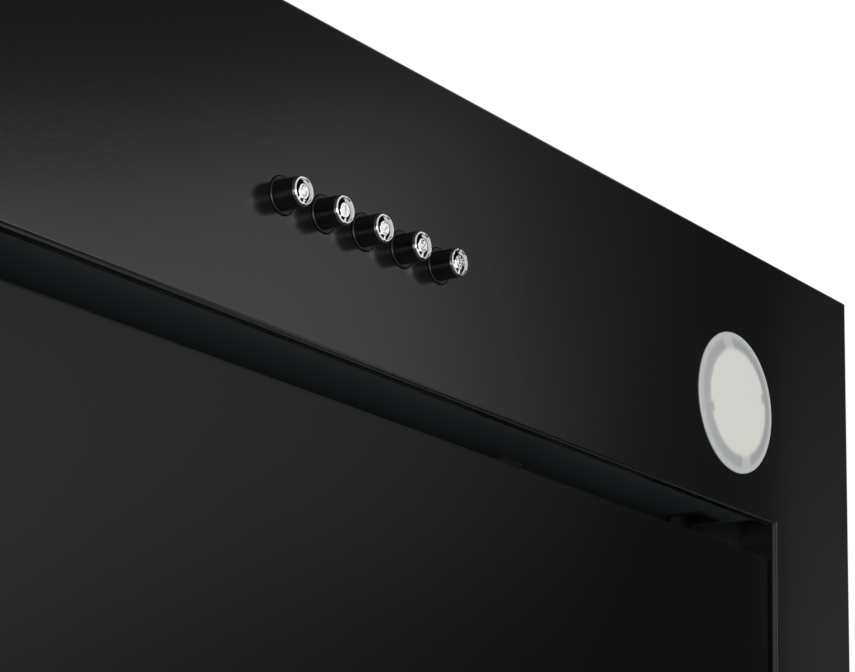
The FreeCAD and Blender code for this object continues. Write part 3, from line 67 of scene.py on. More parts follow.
def finish(name, **inputs):
    """A new material with one surface shader, whose plain values are set on its own sockets."""
    material = bpy.data.materials.new(name)
    material.use_nodes = True
    tree = material.node_tree
    shader = tree.nodes["Principled BSDF"]
    for key, value in inputs.items():
        shader.inputs[key.replace("_", " ")].default_value = value
    place = add(tree, "ShaderNodeTexCoord").outputs["Object"]
    return material, tree, shader, place


def dress(material, *names):
    """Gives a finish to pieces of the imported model."""
    for name in names:
        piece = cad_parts[name]
        if not piece.material_slots:
            piece.data.materials.append(material)
        for slot in piece.material_slots:
            slot.material = material


def per_mm(size):
    """Texture scale, in repeats to the metre, of a pattern whose grain is that many millimetres."""
    return 1000.0 / size


# Powder coat sets with a fine orange peel over flat black, so light on it spreads softly, and its
# black clouds a little from place to place.
coat, tree, shader, place = finish("powder_coat_satin_black", IOR=1.5)
peel = add(tree, "ShaderNodeTexNoise", {"Vector": place, "Scale": per_mm(1.6), "Detail": 3.0})
cloud = add(tree, "ShaderNodeTexNoise", {"Vector": place, "Scale": per_mm(90), "Detail": 2.0})
tint = add(tree, "ShaderNodeMix", {"Factor": cloud.outputs["Fac"], "A": linear("#0f0f0e"),
                                   "B": linear("#131312")}, data_type="RGBA")
rough = add(tree, "ShaderNodeMapRange", {"Value": peel.outputs["Fac"], "To Min": 0.17, "To Max": 0.21})
bump = add(tree, "ShaderNodeBump", {"Height": peel.outputs["Fac"], "Strength": 0.05, "Distance": 0.0002})
tree.links.new(tint.outputs["Result"], shader.inputs["Base Color"])
tree.links.new(rough.outputs["Result"], shader.inputs["Roughness"])
tree.links.new(bump.outputs["Normal"], shader.inputs["Normal"])
dress(coat, "fascia_plate")


# Suction panel: a folded steel tray hung in the opening, so that air is drawn in round its edges.
# It is powder coated too, and swings down on two pins that are riveted to its ends.
# Its duller coat gives back less light than the plate's, so it looks flatter and blacker.
panel_coat, tree, shader, place = finish("powder_coat_dull_black", IOR=1.28)
peel = add(tree, "ShaderNodeTexNoise", {"Vector": place, "Scale": per_mm(2.4), "Detail": 2.0})
cloud = add(tree, "ShaderNodeTexNoise", {"Vector": place, "Scale": per_mm(120), "Detail": 2.0})
tint = add(tree, "ShaderNodeMix", {"Factor": cloud.outputs["Fac"], "A": linear("#050506"),
                                   "B": linear("#080809")}, data_type="RGBA")
rough = add(tree, "ShaderNodeMapRange", {"Value": peel.outputs["Fac"], "To Min": 0.24, "To Max": 0.26})
bump = add(tree, "ShaderNodeBump", {"Height": peel.outputs["Fac"], "Strength": 0.015, "Distance": 0.0002})
tree.links.new(tint.outputs["Result"], shader.inputs["Base Color"])
tree.links.new(rough.outputs["Result"], shader.inputs["Roughness"])
tree.links.new(bump.outputs["Normal"], shader.inputs["Normal"])
dress(panel_coat, "suction_panel")


# Panel fittings: zinc plated steel pins and strike plates on the panel, moulded nylon bushes in the
# plate's end flanges, and two ferrite magnets on coated brackets, which hold the panel shut.
dress(coat, "magnet_brackets")

# Zinc plate is a hazy pale grey, whose highlights go from crisp to soft within a few millimetres.
zinc, tree, shader, place = finish("zinc_plated_steel", Metallic=1.0)
haze = add(tree, "ShaderNodeTexNoise", {"Vector": place, "Scale": per_mm(3), "Detail": 4.0})
tint = add(tree, "ShaderNodeMix", {"Factor": haze.outputs["Fac"], "A": linear("#b4b8ba"),
                                   "B": linear("#cdd0d0")}, data_type="RGBA")
rough = add(tree, "ShaderNodeMapRange", {"Value": haze.outputs["Fac"], "To Min": 0.22, "To Max": 0.4})
tree.links.new(tint.outputs["Result"], shader.inputs["Base Color"])
tree.links.new(rough.outputs["Result"], shader.inputs["Roughness"])
dress(zinc, "panel_pivot_pins", "strike_plates")

# Plain nylon is milky, and light sinks a little way into it. Its grain is drawn coarser than it is.
nylon, tree, shader, place = finish("nylon_natural_moulded", IOR=1.53, Subsurface_Weight=0.15,
                                    Subsurface_Scale=0.001)
grain = add(tree, "ShaderNodeTexNoise", {"Vector": place, "Scale": per_mm(0.8), "Detail": 3.0})
tint = add(tree, "ShaderNodeMix", {"Factor": grain.outputs["Fac"], "A": linear("#d9d5c8"),
                                   "B": linear("#e6e3d8")}, data_type="RGBA")
rough = add(tree, "ShaderNodeMapRange", {"Value": grain.outputs["Fac"], "To Min": 0.4, "To Max": 0.55})
tree.links.new(tint.outputs["Result"], shader.inputs["Base Color"])
tree.links.new(rough.outputs["Result"], shader.inputs["Roughness"])
dress(nylon, "pivot_bushes")

# Ferrite is sintered from powder: dull dark grey, with a gritty skin drawn coarser than it is.
ferrite, tree, shader, place = finish("ferrite_sintered_grey", IOR=2.2, Roughness=0.6)
grain = add(tree, "ShaderNodeTexNoise", {"Vector": place, "Scale": per_mm(0.5), "Detail": 5.0})
tint = add(tree, "ShaderNodeMix", {"Factor": grain.outputs["Fac"], "A": linear("#2c2c2e"),
                                   "B": linear("#454547")}, data_type="RGBA")
bump = add(tree, "ShaderNodeBump", {"Height": grain.outputs["Fac"], "Strength": 0.3, "Distance": 0.0002})
tree.links.new(tint.outputs["Result"], shader.inputs["Base Color"])
tree.links.new(bump.outputs["Normal"], shader.inputs["Normal"])
dress(ferrite, "catch_magnets")


# Housing: two channels, a front and a back sheet and a lid, folded from hot dip galvanised steel.
# The lid's lips are screwed to the walls. The brackets and the strap inside are of the same sheet.
# Zinc freezes in leafy crystals some 8 mm across, which each catch the light in their own way.
galvanised, tree, shader, place = finish("galvanised_sheet_spangled", Metallic=1.0)
spangle = add(tree, "ShaderNodeTexVoronoi", {"Vector": place, "Scale": per_mm(8)})
leaf = add(tree, "ShaderNodeSeparateColor", {"Color": spangle.outputs["Color"]})
veil = add(tree, "ShaderNodeTexNoise", {"Vector": place, "Scale": per_mm(40), "Detail": 4.0})
mixed = add(tree, "ShaderNodeMath", {0: leaf.outputs["Red"], 1: veil.outputs["Fac"]}, operation="MULTIPLY")
tint = add(tree, "ShaderNodeMix", {"Factor": mixed.outputs["Value"], "A": linear("#969ca0"),
                                   "B": linear("#bfc3c5")}, data_type="RGBA")
rough = add(tree, "ShaderNodeMapRange", {"Value": leaf.outputs["Green"], "To Min": 0.38, "To Max": 0.56})
tree.links.new(tint.outputs["Result"], shader.inputs["Base Color"])
tree.links.new(rough.outputs["Result"], shader.inputs["Roughness"])
dress(galvanised, "side_panel_left", "side_panel_right", "front_panel", "back_panel", "top_cover",
      "switch_bracket", "motor_bracket", "capacitor_clip")


# Screws: zinc plated sheet metal screws with pan heads and cross recesses, four through the lips
# of the lid and four that clamp the duct collar, the lid and the moulded outlet together.
head_radius = 0.0035
head_height = 0.0022
shank_radius = 0.0016


def object_from(name, shape):
    """Turns a finished shape into an object of the scene."""
    mesh = bpy.data.meshes.new(name)
    shape.to_mesh(mesh)
    shape.free()
    made = bpy.data.objects.new(name, mesh)
    bpy.context.collection.objects.link(made)
    return made


def screw(name, seat, axis, length):
    """One screw along the axis: a pointed shank below the seat, and a domed head with a recess."""
    sides = 32
    tip_share, tip_length, point_length = 0.6, 0.0008, 0.0022
    cheek = 0.45
    outline = [(0.0, -length), (shank_radius * tip_share, tip_length - length),
               (shank_radius, point_length - length), (shank_radius, 0.0), (head_radius, 0.0),
               (head_radius, head_height * cheek)]
    for dome in (18, 36, 54, 72):
        a = math.radians(dome)
        outline.append((head_radius * math.cos(a), head_height * (cheek + (1 - cheek) * math.sin(a))))
    outline.append((0.0, head_height))
    shape = bmesh.new()
    rings = []
    for radius, level in outline:
        turns = [math.tau * k / sides for k in range(sides if radius else 1)]
        rings.append([shape.verts.new((radius * math.cos(a), radius * math.sin(a), level)) for a in turns])
    for low, high in zip(rings, rings[1:]):
        for k in range(sides):
            around = ((low, k), (low, k + 1), (high, k + 1), (high, k))
            corners = [ring[spot % len(ring)] for ring, spot in around]
            shape.faces.new(list(dict.fromkeys(corners)))
    bmesh.ops.recalc_face_normals(shape, faces=shape.faces)
    piece = object_from(name, shape)

    arm_half, slot_half, recess_depth, floor_share = 0.0019, 0.00042, 0.0009, 0.45
    recess = bmesh.new()
    for half_x, half_y in ((arm_half, slot_half), (slot_half, arm_half)):
        for vert in bmesh.ops.create_cube(recess, size=2.0)["verts"]:
            x, y, z = vert.co
            share = 1.0 if z > 0 else floor_share
            vert.co = (x * half_x * share, y * half_y, z * recess_depth + head_height)
    cutter = object_from(f"{name}_recess", recess)
    cut = piece.modifiers.new("recess", "BOOLEAN")
    cut.operation = "DIFFERENCE"
    cut.object = cutter
    cut.use_self = True
    cut_piece = piece.evaluated_get(bpy.context.evaluated_depsgraph_get())
    mesh = bpy.data.meshes.new_from_object(cut_piece)
    piece.modifiers.clear()
    piece.data = mesh
    bpy.data.objects.remove(cutter)

    turn = Vector((0, 0, 1)).rotation_difference(Vector(axis)).to_matrix().to_4x4()
    mesh.transform(Matrix.Translation(seat) @ turn)
    mesh.materials.clear()
    mesh.materials.append(zinc)
    for face in mesh.polygons:
        face.use_smooth = False
    return piece


cover_shank = 0.006
cover_low, cover_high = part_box("cover_screws")
cover_z = (cover_low[2] + cover_high[2]) / 2
heads = []
for y, way in ((cover_low[1] + head_height, (0, -1, 0)), (cover_high[1] - head_height, (0, 1, 0))):
    for x in (cover_low[0] + head_radius, cover_high[0] - head_radius):
        heads.append(screw(f"cover_screw_{len(heads)}", (x, y, cover_z), way, cover_shank))
for piece in heads:
    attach(piece, "root")
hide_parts("cover_screws")

collar_shank = 0.008
collar_flange_top = 0.003
collar_low, collar_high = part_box("collar_screws")
clamps = []
for x in (collar_low[0] + head_radius, collar_high[0] - head_radius):
    for y in (collar_low[1] + head_radius, collar_high[1] - head_radius):
        seat = (x, y, collar_flange_top)
        clamps.append(screw(f"collar_screw_{len(clamps)}", seat, (0, 0, 1), collar_shank))
for piece in clamps:
    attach(piece, "root")
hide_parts("collar_screws")


# Filter rails: two folded steel angles that stand behind the opening's front and rear edges, with
# slots for the filters' tongues and latches. The front one's web shows through the suction slot.
# Their coat is black, but it is painted a dark bluish grey: painted light, which stands for the dim,
# cool light that the web shows in the shade of the slot.
rail_coat, tree, shader, place = finish("black_coat_painted_cool_light", IOR=1.33)
peel = add(tree, "ShaderNodeTexNoise", {"Vector": place, "Scale": per_mm(1.6), "Detail": 3.0})
tint = add(tree, "ShaderNodeMix", {"Factor": peel.outputs["Fac"], "A": linear("#363e40"),
                                   "B": linear("#3e4648")}, data_type="RGBA")
rough = add(tree, "ShaderNodeMapRange", {"Value": peel.outputs["Fac"], "To Min": 0.42, "To Max": 0.5})
tree.links.new(tint.outputs["Result"], shader.inputs["Base Color"])
tree.links.new(rough.outputs["Result"], shader.inputs["Roughness"])
dress(rail_coat, "filter_rail_front", "filter_rail_rear")


# Grease filters: frames of folded, satin anodised aluminium round packs of expanded aluminium
# mesh. Two tongues hook into the rear rail and a sprung nylon latch holds the front.
# Brushed before it is anodised, the frame has fine lines along the hood, 25 times as long as wide.
anodised, tree, shader, place = finish("anodised_aluminium_satin", Metallic=1.0)
brush = add(tree, "ShaderNodeMapping", {"Vector": place, "Scale": (0.04, 1.0, 1.0)})
line = add(tree, "ShaderNodeTexNoise",
           {"Vector": brush.outputs["Vector"], "Scale": per_mm(0.7), "Detail": 3.0})
tint = add(tree, "ShaderNodeMix", {"Factor": line.outputs["Fac"], "A": linear("#b9bbbd"),
                                   "B": linear("#d3d5d6")}, data_type="RGBA")
rough = add(tree, "ShaderNodeMapRange", {"Value": line.outputs["Fac"], "To Min": 0.28, "To Max": 0.42})
tree.links.new(tint.outputs["Result"], shader.inputs["Base Color"])
tree.links.new(rough.outputs["Result"], shader.inputs["Roughness"])
dress(anodised, "filter_frame_left", "filter_frame_right")

# The mesh pack is several thin layers, so its strands look crossed and crinkled up close. The
# hollows between the strands are painted darker: painted shade for the layers deeper in the pack.
mesh_pack, tree, shader, place = finish("expanded_aluminium_mesh", Metallic=1.0, Roughness=0.34)
layer = add(tree, "ShaderNodeTexVoronoi", {"Vector": place, "Scale": per_mm(2.2)},
            feature="DISTANCE_TO_EDGE")
deep = add(tree, "ShaderNodeMapRange", {"Value": layer.outputs["Distance"], "From Max": 0.35})
tint = add(tree, "ShaderNodeMix", {"Factor": deep.outputs["Result"], "A": linear("#d5d7d8"),
                                   "B": linear("#74787b")}, data_type="RGBA")
bump = add(tree, "ShaderNodeBump", {"Height": deep.outputs["Result"], "Strength": 0.6, "Distance": 0.0006},
           invert=True)
tree.links.new(tint.outputs["Result"], shader.inputs["Base Color"])
tree.links.new(bump.outputs["Normal"], shader.inputs["Normal"])
dress(mesh_pack, "filter_mesh_left", "filter_mesh_right")

# Black nylon is moulded in spark eroded tools, which leave a dull grain, drawn coarser than it is.
black_nylon, tree, shader, place = finish("nylon_black_grained", IOR=1.53)
grain = add(tree, "ShaderNodeTexNoise", {"Vector": place, "Scale": per_mm(0.6), "Detail": 2.0})
tint = add(tree, "ShaderNodeMix", {"Factor": grain.outputs["Fac"], "A": linear("#1b1b1c"),
                                   "B": linear("#232324")}, data_type="RGBA")
rough = add(tree, "ShaderNodeMapRange", {"Value": grain.outputs["Fac"], "To Min": 0.42, "To Max": 0.6})
bump = add(tree, "ShaderNodeBump", {"Height": grain.outputs["Fac"], "Strength": 0.15, "Distance": 0.0001})
tree.links.new(tint.outputs["Result"], shader.inputs["Base Color"])
tree.links.new(rough.outputs["Result"], shader.inputs["Roughness"])
tree.links.new(bump.outputs["Normal"], shader.inputs["Normal"])
dress(black_nylon, "filter_latch_left", "filter_latch_right", "latch_keeper_left", "latch_keeper_right")


# Lamps: LED downlights in die cast cans above the plate, each closed by a moulded opal lens that
# has a flat rim and a raised disc. A neck in two halves, with a rib on each, holds the lens in the
# plate's hole, where it sits turned a little.
neck_inside = 0.0194
neck_outside = 0.0232
half_slot = 0.0032
half_rib = 0.0018
blur = 0.0012
lens_turn = math.radians(17)
lens_low, lens_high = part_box("lamp_lens_right")
lamp_x = (lens_low[0] + lens_high[0]) / 2
lamp_y = (lens_low[1] + lens_high[1]) / 2

# Frosted opal polycarbonate is pale, and its flat rim is drawn a little greyer than the raised disc.
# The neck's shade, seen through the lens, is painted on as a soft grey ring, open at the two slots,
# with a tab inwards at each rib.
opal, tree, shader, place = finish("opal_polycarbonate_frosted", IOR=1.58, Subsurface_Weight=0.2,
                                   Subsurface_Scale=0.002)
spot = add(tree, "ShaderNodeSeparateXYZ", {"Vector": place})
side = add(tree, "ShaderNodeMath", {0: spot.outputs["X"]}, operation="ABSOLUTE")
across = add(tree, "ShaderNodeMath", {0: side.outputs["Value"], 1: lamp_x}, operation="SUBTRACT")
along = add(tree, "ShaderNodeMath", {0: spot.outputs["Y"], 1: lamp_y}, operation="SUBTRACT")
flat = add(tree, "ShaderNodeCombineXYZ", {"X": across.outputs["Value"], "Y": along.outputs["Value"]})
spoke = add(tree, "ShaderNodeVectorMath", {0: flat.outputs["Vector"]}, operation="LENGTH")
turned = add(tree, "ShaderNodeVectorRotate", {"Vector": flat.outputs["Vector"], "Angle": lens_turn},
             rotation_type="Z_AXIS")
halves = add(tree, "ShaderNodeSeparateXYZ", {"Vector": turned.outputs["Vector"]})
from_slot = add(tree, "ShaderNodeMath", {0: halves.outputs["X"]}, operation="ABSOLUTE")
from_rib = add(tree, "ShaderNodeMath", {0: halves.outputs["Y"]}, operation="ABSOLUTE")
fades = {}
for name, distance, edge, before, past in (
        ("inside the neck", spoke, neck_outside, 1.0, 0.0),
        ("on the disc", spoke, neck_inside, 1.0, 0.0),
        ("past the disc", spoke, neck_inside, 0.0, 1.0),
        ("past the rib's foot", spoke, neck_inside - half_rib, 0.0, 1.0),
        ("off the slot", from_slot, half_slot, 0.0, 1.0),
        ("on the rib", from_rib, half_rib, 1.0, 0.0)):
    fade = add(tree, "ShaderNodeMapRange",
               {"Value": distance.outputs["Value"], "From Min": edge - blur, "From Max": edge + blur,
                "To Min": before, "To Max": past}, interpolation_type="SMOOTHSTEP")
    fades[name] = fade.outputs["Result"]
# Painted shade: the band over the neck, open at the slots and widened at the ribs, is mixed to grey.
neck_shade_parts = []
for start, limit in (("past the disc", "off the slot"), ("past the rib's foot", "on the rib")):
    band = add(tree, "ShaderNodeMath", {0: fades["inside the neck"], 1: fades[start]}, operation="MULTIPLY")
    part = add(tree, "ShaderNodeMath", {0: band.outputs["Value"], 1: fades[limit]}, operation="MULTIPLY")
    neck_shade_parts.append(part.outputs["Value"])
neck = add(tree, "ShaderNodeMath", {0: neck_shade_parts[0], 1: neck_shade_parts[1]}, operation="MAXIMUM")
outer = add(tree, "ShaderNodeMix", {"Factor": fades["on the disc"], "A": linear("#c2c5c5"),
                                    "B": linear("#e0dfdb")}, data_type="RGBA")
tint = add(tree, "ShaderNodeMix", {"Factor": neck.outputs["Value"], "A": outer.outputs["Result"],
                                   "B": linear("#a7aaaa")}, data_type="RGBA")
frost = add(tree, "ShaderNodeTexNoise", {"Vector": place, "Scale": per_mm(0.7), "Detail": 2.0})
rough = add(tree, "ShaderNodeMapRange", {"Value": frost.outputs["Fac"], "To Min": 0.4, "To Max": 0.52})
tree.links.new(tint.outputs["Result"], shader.inputs["Base Color"])
tree.links.new(rough.outputs["Result"], shader.inputs["Roughness"])
dress(opal, "lamp_lens_left", "lamp_lens_right")

# Die cast aluminium has a dull grey skin with a cloudy, slightly raised grain.
die_cast, tree, shader, place = finish("aluminium_die_cast", Metallic=1.0, Roughness=0.5)
grain = add(tree, "ShaderNodeTexNoise", {"Vector": place, "Scale": per_mm(1.2), "Detail": 5.0})
tint = add(tree, "ShaderNodeMix", {"Factor": grain.outputs["Fac"], "A": linear("#8f9294"),
                                   "B": linear("#b3b5b6")}, data_type="RGBA")
bump = add(tree, "ShaderNodeBump", {"Height": grain.outputs["Fac"], "Strength": 0.2, "Distance": 0.0003})
tree.links.new(tint.outputs["Result"], shader.inputs["Base Color"])
tree.links.new(bump.outputs["Normal"], shader.inputs["Normal"])
dress(die_cast, "lamp_can_left", "lamp_can_right")

# White solder mask is a thin, half glossy paint, through which the glass cloth mottles the board.
board, tree, shader, place = finish("solder_mask_white", IOR=1.5, Roughness=0.45)
weave = add(tree, "ShaderNodeTexNoise", {"Vector": place, "Scale": per_mm(1.5), "Detail": 2.0})
tint = add(tree, "ShaderNodeMix", {"Factor": weave.outputs["Fac"], "A": linear("#e3e3dd"),
                                   "B": linear("#efefe9")}, data_type="RGBA")
tree.links.new(tint.outputs["Result"], shader.inputs["Base Color"])
dress(board, "led_board_left", "led_board_right")


# Push buttons: five polished black plungers in black bushes, which press a switch body above the
# plate. Each ends in a chromed cap, whose mark stands on a flat face inside a raised rim.
marks = ("off", "low", "middle", "high", "light")

# Polished ABS is deep black, with a soft streak of light along each barrel.
polished, tree, shader, place = finish("abs_polished_black", IOR=1.42)
swirl = add(tree, "ShaderNodeTexNoise", {"Vector": place, "Scale": per_mm(5), "Detail": 2.0})
tint = add(tree, "ShaderNodeMix", {"Factor": swirl.outputs["Fac"], "A": linear("#060606"),
                                   "B": linear("#0b0b0b")}, data_type="RGBA")
rough = add(tree, "ShaderNodeMapRange", {"Value": swirl.outputs["Fac"], "To Min": 0.26, "To Max": 0.32})
tree.links.new(tint.outputs["Result"], shader.inputs["Base Color"])
tree.links.new(rough.outputs["Result"], shader.inputs["Roughness"])
dress(polished, "button_bushes", *[f"button_barrel_{mark}" for mark in marks])

# Satin ABS comes from a grained tool and looks dull. Its grain is drawn coarser than it is.
satin, tree, shader, place = finish("abs_satin_black", IOR=1.53)
grain = add(tree, "ShaderNodeTexNoise", {"Vector": place, "Scale": per_mm(0.5), "Detail": 2.0})
tint = add(tree, "ShaderNodeMix", {"Factor": grain.outputs["Fac"], "A": linear("#101010"),
                                   "B": linear("#161616")}, data_type="RGBA")
rough = add(tree, "ShaderNodeMapRange", {"Value": grain.outputs["Fac"], "To Min": 0.3, "To Max": 0.4})
tree.links.new(tint.outputs["Result"], shader.inputs["Base Color"])
tree.links.new(rough.outputs["Result"], shader.inputs["Roughness"])
dress(satin, "switch_body")

# Bright chrome mirrors the room, and is slightly wavy from the moulding beneath it.
chrome, tree, shader, place = finish("chrome_plate_bright", Metallic=1.0, Roughness=0.06)
ripple = add(tree, "ShaderNodeTexNoise", {"Vector": place, "Scale": per_mm(1.4), "Detail": 1.0})
tint = add(tree, "ShaderNodeMix", {"Factor": ripple.outputs["Fac"], "A": linear("#eef0f1"),
                                   "B": linear("#f8f8f8")}, data_type="RGBA")
bump = add(tree, "ShaderNodeBump", {"Height": ripple.outputs["Fac"], "Strength": 0.12, "Distance": 0.0002})
tree.links.new(tint.outputs["Result"], shader.inputs["Base Color"])
tree.links.new(bump.outputs["Normal"], shader.inputs["Normal"])
dress(chrome, *[f"button_cap_{mark}" for mark in marks])


def bow(x, y, across, along, start, end, steps=14):
    """Points in millimetres on part of an ellipse, from one angle to another in degrees."""
    angles = [math.radians(start + (end - start) * k / steps) for k in range(steps + 1)]
    return [(x + across * math.cos(a), y + along * math.sin(a)) for a in angles]


# The marks are the numbers 0 to 3 and a lamp with rays, in millimetres from the middle of the cap.
strokes = {
    "off": [bow(0, 0, 1.05, 1.6, 0, 360, 32)],
    "low": [[(-0.7, 0.9), (0.1, 1.6), (0.1, -1.6)]],
    "middle": [bow(0, 0.75, 0.95, 0.85, 160, -35) + [(-1.0, -1.6), (1.05, -1.6)]],
    "high": [bow(-0.05, 0.8, 0.9, 0.8, 150, -90) + bow(-0.05, -0.8, 1.0, 0.8, 90, -150)],
    "light": [bow(0, 0.15, 0.85, 0.85, -60, 240, 24), [(-0.42, -1.0), (0.42, -1.0)],
              [(-0.35, -1.4), (0.35, -1.4)], [(0, 1.35), (0, 1.85)], [(1.05, 1.0), (1.4, 1.35)],
              [(-1.05, 1.0), (-1.4, 1.35)]],
}


def raised_mark(name, lines, centre, level):
    """Half round ridges along the lines, which stand on that level and are read from below."""
    half_width, rise, arc_steps, same_spot = 0.00022, 0.00018, 6, 1e-6
    shape = bmesh.new()
    for path in lines:
        spots = [Vector((x / 1000, -y / 1000)) for x, y in path]
        closed = (spots[0] - spots[-1]).length < same_spot
        if closed:
            spots = spots[:-1]
        count = len(spots)
        rows = []
        for k, spot in enumerate(spots):
            before = spots[k - 1] if closed or k else spot
            after = spots[(k + 1) % count] if closed or k + 1 < count else spot
            along = (after - before).normalized()
            side = Vector((-along.y, along.x))
            row = []
            for arc in range(arc_steps + 1):
                a = math.pi * arc / arc_steps
                x, y = spot + side * half_width * math.cos(a)
                row.append(shape.verts.new((centre[0] + x, centre[1] + y, level - rise * math.sin(a))))
            rows.append(row)
        pairs = list(zip(rows, rows[1:] + rows[:1])) if closed else list(zip(rows, rows[1:]))
        for here, there in pairs:
            for arc in range(arc_steps):
                shape.faces.new((here[arc], here[arc + 1], there[arc + 1], there[arc]))
            shape.faces.new((here[arc_steps], here[0], there[0], there[arc_steps]))
        if not closed:
            shape.faces.new(rows[0])
            shape.faces.new(list(reversed(rows[-1])))
    bmesh.ops.recalc_face_normals(shape, faces=shape.faces)
    piece = object_from(name, shape)
    piece.data.materials.append(chrome)
    for facet in piece.data.polygons:
        facet.use_smooth = True
    return piece


cap_sink = 0.0002
for mark in marks:
    low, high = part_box(f"button_cap_{mark}")
    middle = ((low[0] + high[0]) / 2, (low[1] + high[1]) / 2)
    piece = raised_mark(f"button_mark_{mark}", strokes[mark], middle, low[2] + cap_sink)
    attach(piece, f"button_{mark}")


# Blower: a scroll casing in two moulded halves, a double inlet wheel with forward curved blades
# of the same dark polypropylene, and an enamelled motor on a bracket in one inlet.
# Moulded polypropylene is waxy and half dull. Its grain is drawn coarser than it is.
casing, tree, shader, place = finish("polypropylene_dark_grey", IOR=1.49)
grain = add(tree, "ShaderNodeTexNoise", {"Vector": place, "Scale": per_mm(0.8), "Detail": 3.0})
tint = add(tree, "ShaderNodeMix", {"Factor": grain.outputs["Fac"], "A": linear("#3b3d3f"),
                                   "B": linear("#47494b")}, data_type="RGBA")
rough = add(tree, "ShaderNodeMapRange", {"Value": grain.outputs["Fac"], "To Min": 0.4, "To Max": 0.55})
tree.links.new(tint.outputs["Result"], shader.inputs["Base Color"])
tree.links.new(rough.outputs["Result"], shader.inputs["Roughness"])
dress(casing, "blower_casing_left", "blower_casing_right", "blower_wheel", "outlet_transition")

# Stoved enamel is smooth and half glossy, with a slight orange peel.
enamel, tree, shader, place = finish("motor_enamel_dark", IOR=1.5, Roughness=0.35)
peel = add(tree, "ShaderNodeTexNoise", {"Vector": place, "Scale": per_mm(2), "Detail": 3.0})
tint = add(tree, "ShaderNodeMix", {"Factor": peel.outputs["Fac"], "A": linear("#33373b"),
                                   "B": linear("#3f4347")}, data_type="RGBA")
bump = add(tree, "ShaderNodeBump", {"Height": peel.outputs["Fac"], "Strength": 0.1, "Distance": 0.0003})
tree.links.new(tint.outputs["Result"], shader.inputs["Base Color"])
tree.links.new(bump.outputs["Normal"], shader.inputs["Normal"])
dress(enamel, "motor_body")

# Sintered bronze is warm and brown, speckled by its pores, which are drawn coarser than they are.
bronze, tree, shader, place = finish("bronze_sintered", Metallic=1.0, Roughness=0.5)
pores = add(tree, "ShaderNodeTexNoise", {"Vector": place, "Scale": per_mm(0.4), "Detail": 4.0})
tint = add(tree, "ShaderNodeMix", {"Factor": pores.outputs["Fac"], "A": linear("#8a6a3a"),
                                   "B": linear("#b08d54")}, data_type="RGBA")
tree.links.new(tint.outputs["Result"], shader.inputs["Base Color"])
dress(bronze, "motor_bearings")

# Ground steel is bright, with fine lines round it, drawn coarser than they are.
ground_steel, tree, shader, place = finish("steel_ground_bright", Metallic=1.0)
grind = add(tree, "ShaderNodeMapping", {"Vector": place, "Scale": (1.0, 0.03, 0.03)})
line = add(tree, "ShaderNodeTexNoise",
           {"Vector": grind.outputs["Vector"], "Scale": per_mm(0.3), "Detail": 2.0})
tint = add(tree, "ShaderNodeMix", {"Factor": line.outputs["Fac"], "A": linear("#b5b7b9"),
                                   "B": linear("#d0d2d3")}, data_type="RGBA")
rough = add(tree, "ShaderNodeMapRange", {"Value": line.outputs["Fac"], "To Min": 0.18, "To Max": 0.3})
tree.links.new(tint.outputs["Result"], shader.inputs["Base Color"])
tree.links.new(rough.outputs["Result"], shader.inputs["Roughness"])
dress(ground_steel, "motor_shaft")


# Duct outlet: a moulded nylon collar with two half round flaps on a ground steel rod, which the air
# lifts and their weight shuts, so that no cold air falls back through the duct.
dress(black_nylon, "duct_collar", "flap_front", "flap_rear")
dress(ground_steel, "flap_rod")


# Electrics: light grey LED driver and motor capacitor on the housing's sides, and a black terminal
# box under the lid with a nylon gland for the mains cable.
dress(black_nylon, "terminal_box", "cable_gland")

# Light grey polycarbonate has a faint moulded grain, drawn coarser than it is.
grey_case, tree, shader, place = finish("polycarbonate_light_grey", IOR=1.58)
grain = add(tree, "ShaderNodeTexNoise", {"Vector": place, "Scale": per_mm(0.7), "Detail": 2.0})
tint = add(tree, "ShaderNodeMix", {"Factor": grain.outputs["Fac"], "A": linear("#c9cac8"),
                                   "B": linear("#d6d7d5")}, data_type="RGBA")
rough = add(tree, "ShaderNodeMapRange", {"Value": grain.outputs["Fac"], "To Min": 0.38, "To Max": 0.5})
tree.links.new(tint.outputs["Result"], shader.inputs["Base Color"])
tree.links.new(rough.outputs["Result"], shader.inputs["Roughness"])
dress(grey_case, "led_driver", "motor_capacitor")


# Studio: a plain pale floor far below the hood, a soft white surround and five soft boxes. Black and
# grey cards, which only show in mirror images, shade what the black coat mirrors, as a photographer
# does for a glossy black thing.
def level_sheet(height, xs, ys):
    """Corners of a level sheet."""
    return [(x, y, height) for x, y in ((xs[0], ys[0]), (xs[1], ys[0]), (xs[1], ys[1]), (xs[0], ys[1]))]


def upright_sheet(x, ys, zs):
    """Corners of an upright sheet that faces along X."""
    return [(x, y, z) for y, z in ((ys[0], zs[0]), (ys[1], zs[0]), (ys[1], zs[1]), (ys[0], zs[1]))]


def stage_sheet(name, corners, code):
    """A flat sheet of the studio in one matt colour."""
    mesh = bpy.data.meshes.new(name)
    mesh.from_pydata(corners, [], [tuple(range(len(corners)))])
    matt = finish(f"{name}_matt", Base_Color=linear(code), Roughness=1.0, Specular_IOR_Level=0.0)[0]
    mesh.materials.append(matt)
    piece = bpy.data.objects.new(name, mesh)
    bpy.context.collection.objects.link(piece)
    return piece


stage_sheet("studio_floor", level_sheet(-3.6, (-60.0, 60.0), (-60.0, 60.0)), "#e8e8e6")
floor_card = stage_sheet("black_floor_card", level_sheet(-3.5, (0.6, 5.4), (-5.4, 2.6)), "#0a0a0a")
side_card = stage_sheet("black_side_card", upright_sheet(0.75, (-0.52, 0.8), (-0.72, -0.44)), "#0a0a0a")

